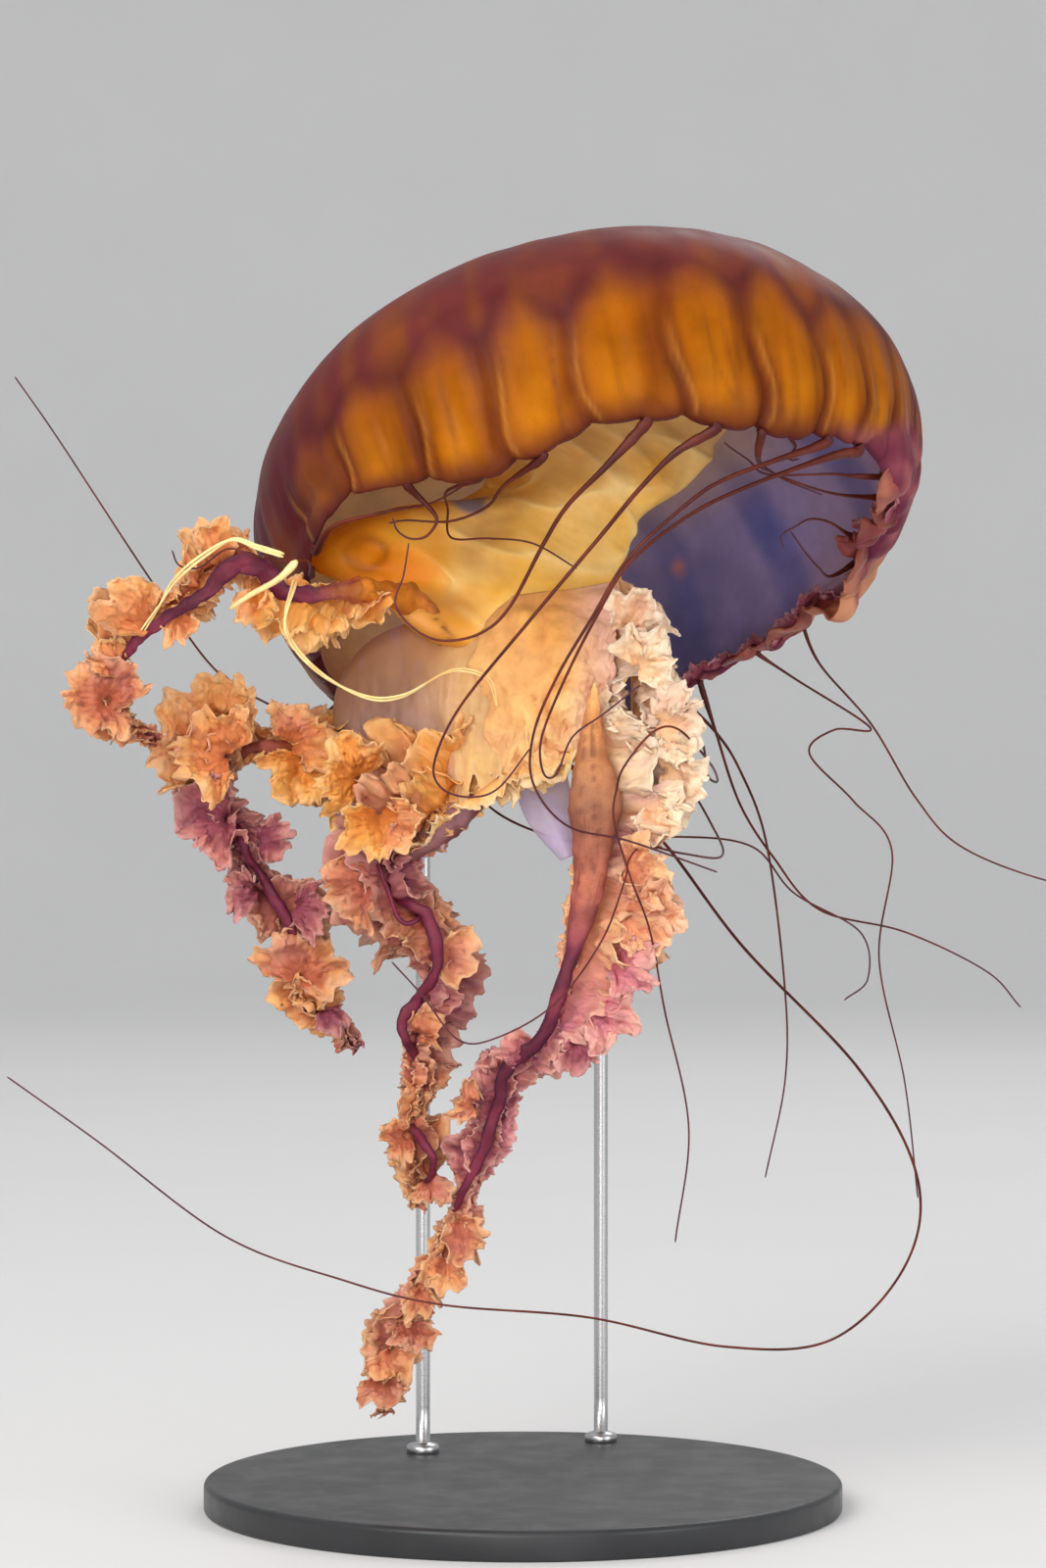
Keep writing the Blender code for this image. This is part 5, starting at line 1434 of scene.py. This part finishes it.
# rosettes of the oral arms: place of the heart, radius, the angles between which it opens
# (degrees from the right-hand side, counter-clockwise from the front), and its colours
ROSETTES = (
    ((-116.5, -60, 307.4), 28, 40, 235, "peach"), ((-116.5, -66, 306), 17, 30, 300, "peach"),
    ((-92, -56, 310.5), 17, -70, 140, "peach"), ((-116.6, -60, 281.5), 17, 70, 300, "mauve"),
    ((-105, -60, 272.6), 13, -70, 80, "mauve"), ((-105, -62, 254), 14, 90, 265, "mauve"),
    ((-90.5, -62, 247), 15, -90, 80, "mauve"), ((-88.5, -58, 218), 16, -60, 190, "tan"),
    ((-80, -54, 206), 14, -80, 10, "mauve"), ((-142.6, -112, 356.1), 21, 85, 200, "peach"),
    ((-116.3, -111, 379), 17, 35, 150, "peach"), ((-160.7, -96, 327.5), 15, -20, 340, "tan"),
    ((-155.5, -104, 340), 12, 60, 230, "peach"), ((-133, -108, 360.5), 11, 190, 340, "peach"),
    ((-102, -108, 369), 12, 190, 350, "golden"), ((-86, -70, 306), 17, 150, 330, "golden"),
    ((-64, -74, 296.5), 18, 40, 250, "golden"), ((-56, -82, 284), 17, 150, 400, "golden"),
    ((-60, -78, 256), 15, 110, 290, "tan"), ((-34, -84, 229), 12, -100, 80, "coral"),
    ((-42, -74, 196), 11, -60, 110, "tan"), ((-46, -72, 156), 11, 120, 300, "tan"),
    ((-38, -70, 138), 10, 180, 380, "coral"), ((40, -82, 356), 12, -20, 170, "creamy"),
    ((44, -86, 340), 14, -60, 150, "creamy"), ((52, -88, 319), 16, -100, 120, "creamy"),
    ((54, -88, 300), 15, -110, 100, "creamy"), ((49, -90, 287), 14, -140, 60, "creamy"),
    ((40, -90, 264), 17, -100, 100, "pink"), ((40, -88, 244), 18, -110, 70, "pink"),
    ((35, -86, 226), 17, -110, 60, "lilac"), ((29, -84, 208), 15, -120, 50, "lilac"),
    ((20, -82, 196), 13, -150, 20, "rosy"), ((2, -80, 185), 13, 70, 200, "rosy"),
    ((-19, -74, 170), 12, 90, 240, "coral"), ((-25, -66, 123), 13, 200, 380, "coral"),
    ((-30, -64, 108), 12, 180, 350, "coral"), ((-40, -62, 96), 12, 190, 360, "coral"),
    ((-45, -60, 83), 13, 180, 350, "tan"), ((-52, -60, 72), 13, 190, 370, "coral"),
    ((-56, -58, 61), 12, 200, 360, "tan"),
)
FAN_SPACING = 0.00064     # between two points along the rim
FAN_ROW = 0.0009          # between two rows from the heart to the rim
FAN_CUP = 0.38            # how far a fan leans to the front, as a share of its radius
FAN_HEART = 0.0012        # radius of the bare heart
LARGE_FAN = 0.0165        # fans above this radius are ruffled less
LEFT_OF_HERE = -0.07      # where the fans are parted into two pieces


def front_of_arms(heart):
    """The heart's depth, brought back to the front of the frills of the arm behind it."""
    depths = []
    for rows in (ARM_LEFT, ARM_LOWER, ARM_CENTRE, ARM_RIGHT):
        dense = smooth_rows(rows, 0.0020)
        away = np.hypot(dense[:, 0] - heart[0], dense[:, 2] - heart[2])
        near = dense[away.argmin()]
        lip = max(near[3:5])
        if away.min() < lip + 0.008:
            depths.append(near[1] - min(max(0.55 * lip + 0.004, 0.009), 0.020))
    return max(heart[1], min(depths)) if depths else heart[1]


def make_rosettes(shader):
    """Fans of frill that open from a heart, cupped towards the front."""
    fans = {"left": [], "right": []}
    for number, (heart, radius, low, high, colour) in enumerate(ROSETTES):
        heart = metres(heart)
        heart[1] = front_of_arms(heart)
        radius = radius / 1000
        count = int(radius * math.radians(high - low) / FAN_SPACING)
        turn = np.radians(np.linspace(low, high, count))
        out = np.stack([np.cos(turn), np.full(count, -FAN_CUP), np.sin(turn)], -1)
        size = radius * (1.04 + 0.10 * noise_line(turn * 2.1 + number * 5, 61))
        root = heart + out * (1.0, 0.0, 1.0) * FAN_HEART
        at_root, at_middle, at_edge, hollow_shade_and_vein = TINTS[colour]
        shades = (mix(at_root, at_middle, 0.6), at_middle, at_edge, mix(hollow_shade_and_vein, at_root, 0.4))
        ruffle = 0.5 if radius > LARGE_FAN else 0.75
        fan = frill(root, root + out * size[:, None], 400 + 7 * number, shades, ruffle=ruffle,
                    fringe=1.6, crumple=1.15, rows=int(radius / FAN_ROW) + 3, blush=0.2)
        fans["left" if heart[0] < LEFT_OF_HERE else "right"].append(fan)
    for side, patches in fans.items():
        make_piece(patches, "arm_rosettes_" + side, shader)


# ---- the mouth ----

# a sheet's rows hold a point of its root and, beside it, a point of its edge
MOUTH_BILLOW = metres((
    (-19, -46, 360, -20.5, -58, 304), (-8, -55, 368, -10, -66, 298.5), (5, -56, 370.5, 2, -70, 298.5),
    (19.9, -56, 372, 15.5, -74, 303), (37.5, -46, 375.7, 33, -70, 319),
))
CURTAIN_SPACING = FRILL_SPACING * 1.6
BILLOW_SPACING = 0.00042
BILLOW_ROWS = 140
SHEET_THICKNESS = 0.0008
# strips of fringe along the edge of a sheet: rows of the sheet, seed, how far up the sheet it starts
FRINGES = ((MOUTH_BILLOW, 101, 0.001), (MOUTH_BILLOW, 104, 0.004), (CURTAIN, 107, 0.001))


def two_edges(rows, spacing):
    """The root and the edge of a sheet, made dense."""
    dense = smooth_rows(rows, spacing)
    return dense[:, :3], dense[:, 3:6]


def make_mouth(frill_flesh, stalk_flesh, veil_flesh):
    """The billowing lips round the mouth, the curtain at their left and the thin crescent at their right."""
    patches = []
    for seed, colours, rows in MOUTH_FRILLS:
        root, edge = two_edges(metres(rows), FRILL_SPACING)
        ruffle = 0.8 if colours == "cream" else 0.9
        patches.append(frill(root, edge, seed, TINTS[colours], ruffle=ruffle, crumple=0.9, rows=20))
    make_piece(patches, "mouth_frills", frill_flesh, ["arm_right_collar"])
    make_piece([billow(MOUTH_BILLOW, 67)], "mouth_billow", frill_flesh)

    root, edge = two_edges(CURTAIN, CURTAIN_SPACING)
    tints = along_tints(np.linspace(0, 1, len(root)), ((0.46, "beige"), (0.68, "warm")))
    curtain = frill(root, edge, 55, tints, ruffle=0.12, fringe=0.7, crumple=0.45, rows=36)
    make_piece([curtain], "mouth_curtain", stalk_flesh)

    patches = []
    for rows, seed, start in FRINGES:
        root, edge = two_edges(rows, FRILL_SPACING)
        down = unit(edge - root)
        root = edge - down * start + (0.0, -0.002, 0.0)
        edge = root + down * 0.0065 + (0.0, -0.0035, 0.0)
        patches.append(frill(root, edge, seed, TINTS["cream"], ruffle=1.5, fringe=1.3, crumple=0.55))
    make_piece(patches, "mouth_fringe", frill_flesh)
    make_piece([crescent()], "arm_right_veil", veil_flesh, ["arm_right_crescent"])


def crescent():
    """The thin pale sheet beside the right arm, cupped towards the rear."""
    dense = smooth_rows(CRESCENT, 0.0010)
    side = sideways(directions(dense[:, :3], 4))
    u = np.linspace(-1, 1, 24)[:, None, None]
    reach = u * np.where(u < 0, dense[None, :, 3:4], dense[None, :, 4:5]) * 1.35
    sheet = dense[None, :, :3] + side[None] * reach
    sheet[..., 1] += 0.004 * u[..., 0] ** 2
    tint = mix(rgb(190, 172, 204), rgb(222, 206, 214), smooth(-0.3, 0.5, fractal(sheet * 60, 91)))
    return leaf(sheet, SHEET_THICKNESS, tint)


def billow(rows, seed):
    """A soft sheet between a root line and an edge, blown into rounded puffs that fade in and out, with
    a lacy edge."""
    root, edge = two_edges(rows, BILLOW_SPACING)
    u = np.linspace(0, 1, BILLOW_ROWS)[:, None]
    middle = root[None] + (edge - root)[None] * u[..., None]
    middle[..., 1] -= 0.007 * np.sin(math.pi * u) ** 0.8
    length = np.arange(len(root)) * BILLOW_SPACING
    along, down = np.gradient(middle, axis=1), np.gradient(middle, axis=0)
    normal = unit(np.cross(along, down))
    if normal[..., 1].mean() > 0:
        normal = -normal
    warped = middle * (1.0, 1.0, 0.62) + 0.006 * noises(middle * 70, (seed + 1, seed + 2, seed + 3))
    calm = smooth(-0.35, 0.45, noise(middle * 34, seed + 20) + 0.9 * (u - 0.35))
    puffs = 0.0085 * np.abs(noise(warped * 42, seed + 4)) + 0.0050 * np.abs(noise(warped * 95, seed + 5))
    puffs = puffs * (0.6 + 0.4 * calm) + 0.0022 * calm * np.abs(noise(warped * 230, seed + 6))
    puffs = puffs + 0.0009 * calm * np.abs(noise(warped * 560, seed + 7))
    rise = smooth(0.0, 0.15, u) * smooth(0, 0.008, length)[None]
    found = middle + normal * (puffs * rise)[..., None]
    # the lower edge falls in uneven points
    drop = 0.006 * noise_line(length * 110, seed + 8) + 0.003 * noise_line(length * 300, seed + 9)
    drop = drop + 0.0016 * noise_line(length * 900, seed + 10)
    found = found + unit(edge - root)[None] * (u ** 3 * drop[None])[..., None]
    small = noises(found * 420, (seed + 11, seed + 12, seed + 13))
    found = found + (0.0003 + 0.0009 * u ** 2)[..., None] * small * rise[..., None]
    # the left edge is torn and fades back into the curtain
    place = u[:, 0]
    ragged = 0.0070 * noise_line(place * 6, seed + 30) + 0.0030 * noise_line(place * 22, seed + 31)
    ragged = ragged[:, None] * np.exp(-length / 0.007)[None]
    found = found + unit(along) * ragged[..., None]
    bumps = np.abs(noise_line(place * 15, seed + 32))[:, None]
    found[..., 1] -= 0.0020 * np.exp(-length / 0.004)[None] * bumps
    return leaf(found, SHEET_THICKNESS, billow_tint(found, u, length, puffs, seed))


def billow_tint(found, u, length, puffs, seed):
    """Amber at the root, cream at the edge, painted shade between the puffs, tan at the left and pink at the
    right."""
    cloud = fractal(found * 60, seed + 14)
    tint = mix(rgb(234, 168, 84), rgb(240, 186, 116), smooth(-0.4, 0.6, cloud))
    tint = mix(tint, rgb(240, 192, 146), smooth(0.55, 1.0, u + 0.2 * cloud) * 0.7)
    # painted shade between the puffs
    tint = mix(tint, rgb(206, 134, 84), smooth(0.0065, 0.0010, puffs) * 0.6)
    tint = mix(tint, rgb(206, 158, 116), 0.75 * np.exp(-length / 0.010)[None] * np.ones_like(u))
    return mix(tint, rgb(222, 174, 164), smooth(0.012, 0.034, found[..., 0]) * 0.75)


# ---- the margin ----

# flaps: direction and half width in degrees, size, how far each leans out and curls over in degrees,
# and how pale it is
MARGIN_FLAPS = (
    (-14, 9, 0.010, 20, -50, 0.3), (-1, 8, 0.012, 35, -80, 0.1), (11, 8, 0.013, 15, -60, 0.0),
    (22, 7, 0.014, 50, -70, 0.4), (35, 10, 0.019, 70, -100, 1.0), (50, 8, 0.012, 35, -60, 0.4),
    (63, 7, 0.009, 20, -40, 0.1),
)
FLAP_COLUMNS = 64
FLAP_ROWS = 26
FLAP_THICKNESS = 0.0010
RUFFLE_COLUMNS = 700
WINE = (rgb(104, 40, 46), rgb(142, 66, 62))
PALE_TAN = (rgb(160, 98, 74), rgb(192, 132, 98))


def make_margin_flaps(shader):
    """Rounded, crumpled flaps of the margin, each curling over."""
    patches = []
    a = np.linspace(-1, 1, FLAP_COLUMNS)
    b = np.linspace(0, 1, FLAP_ROWS)
    for number, (degrees, half, size, lean, curl, pale) in enumerate(MARGIN_FLAPS):
        turn = np.radians(degrees + half * a)
        level = np.full_like(turn, 0.975)
        into = inward(turn, level)
        down = unit(bell_local(turn, level + 0.02) - bell_local(turn, level - 0.02))
        reach = size * np.clip(1 - np.abs(a) ** 2.6, 0, 1) ** 0.5 + 0.0012
        reach = reach * (1 + 0.16 * noise_line(a * 3.1 + number * 7, 33))
        sway = 0.5 * noise_line(a * 2.2 + number * 5, 34)
        rows = [bell_surface(turn, level) + into * 0.0008]
        for step in b[1:]:
            angle = math.radians(lean) + math.radians(curl) * step ** 1.5 + sway * step
            heading = down * np.cos(angle)[:, None] - into * np.sin(angle)[:, None]
            rows.append(rows[-1] + heading * (reach / (FLAP_ROWS - 1))[:, None])
        flap = np.array(rows)
        fade = smooth(0.0, 0.25, b)[:, None, None]
        crumple = 0.0024 * noises(flap * 80, (35, 36, 37)) + 0.0005 * noises(flap * 300, (38, 39, 40))
        flap = tip_over(flap + crumple * fade)
        cloud = fractal(flap * 90, 36)
        wine = mix(*WINE, smooth(-0.5, 0.6, cloud))
        tan = mix(*PALE_TAN, smooth(-0.4, 0.6, cloud))
        tint = mix(wine, tan, np.clip(pale * smooth(0.15, 0.7, b)[:, None] + 0.2 * cloud, 0, 1))
        patches.append(leaf(flap, FLAP_THICKNESS, tint))
    make_piece(patches, "margin_flaps", shader)


def make_margin_ruffle(shader):
    """The ruffled maroon band that hangs from the margin at the right and rear."""
    turn = np.radians(np.linspace(-16, 100, RUFFLE_COLUMNS))
    level = np.full_like(turn, 0.985)
    into = inward(turn, level)
    surface = bell_surface(turn, level)
    inner = unit(into * 0.9 + np.array([0.0, 0.0, -0.75]))
    ends = between(-0.28, 0.0, 1.5, 1.74, turn)
    reach = 0.0078 * (0.55 + 0.45 * noise_line(turn * 9, 5)) * ends + 0.0022
    root = tip_over(surface + into * 0.0012)
    edge = tip_over(surface + inner * reach[:, None])
    ruffle = frill(root, edge, 88, TINTS["wine"], ruffle=1.15, rows=11)
    make_piece([ruffle], "margin_ruffle", shader)


# ---- the whole model ----

SOFT_REACH = (1.0, 0.75, 0.55)
# flesh: name, roughness, cloud and speck (strength, scale), bump and its scale, then other settings
FLESHES = {
    "bell": (0.42, (0.10, 70), (0.16, 900), 0.10, 420, dict(
        coat=0.02, coat_roughness=0.3, scatter=0.15, reach=SOFT_REACH, scale=0.004, specular=0.07)),
    "stalk": (0.46, (0.08, 60), (0.05, 700), 0.14, 300, dict(
        coat=0.08, coat_roughness=0.3, scatter=0.45, reach=SOFT_REACH, scale=0.004, specular=0.3)),
    "frill": (0.50, (0.10, 160), (0.06, 1400), 0.22, 1100, dict(
        lines=(900.0, 10.0, 1.0), line_depth=0.12, coat=0.04, coat_roughness=0.3, scatter=0.50,
        reach=(1.0, 0.88, 0.78), scale=0.0030, specular=0.20)),
    "rib": (0.48, (0.16, 120), (0.60, 1500), 0.30, 700, dict(
        lines=(22.0, 9.0, 1.0), line_depth=0.8, coat=0.04, coat_roughness=0.3, scatter=0.20,
        reach=SOFT_REACH, scale=0.003, specular=0.3)),
    "tentacle": (0.44, (0.16, 200), (0.25, 1600), 0.25, 900, dict(
        coat=0.06, coat_roughness=0.25, scatter=0.12, scale=0.002, specular=0.3)),
    "filament": (0.40, (0.08, 200), (0.08, 1500), 0.25, 1200, dict(
        lines=(12.0, 30.0, 1.0), coat=0.1, scatter=0.35, scale=0.002)),
    "veil": (0.32, (0.08, 90), (0.05, 900), 0.10, 500, dict(coat=0.2, scatter=0.3, scale=0.003, alpha=0.62)),
}


def build():
    """Everything in the scene, in order."""
    make_camera()
    make_lights()
    make_room(floor_material())
    flesh = {}
    for name, (*surface, settings) in FLESHES.items():
        flesh[name] = tinted(name + "_flesh", *surface, **settings)
    make_bell(flesh["bell"])
    make_manubrium(flesh["stalk"])
    make_arms(flesh["frill"], flesh["rib"])
    make_mouth(flesh["frill"], flesh["stalk"], flesh["veil"])
    make_margin_ruffle(flesh["frill"])
    make_margin_flaps(flesh["stalk"])
    make_tentacles(flesh["tentacle"])
    make_filaments(flesh["filament"])
    make_stand(charcoal_metal(), brushed_rod())


build()
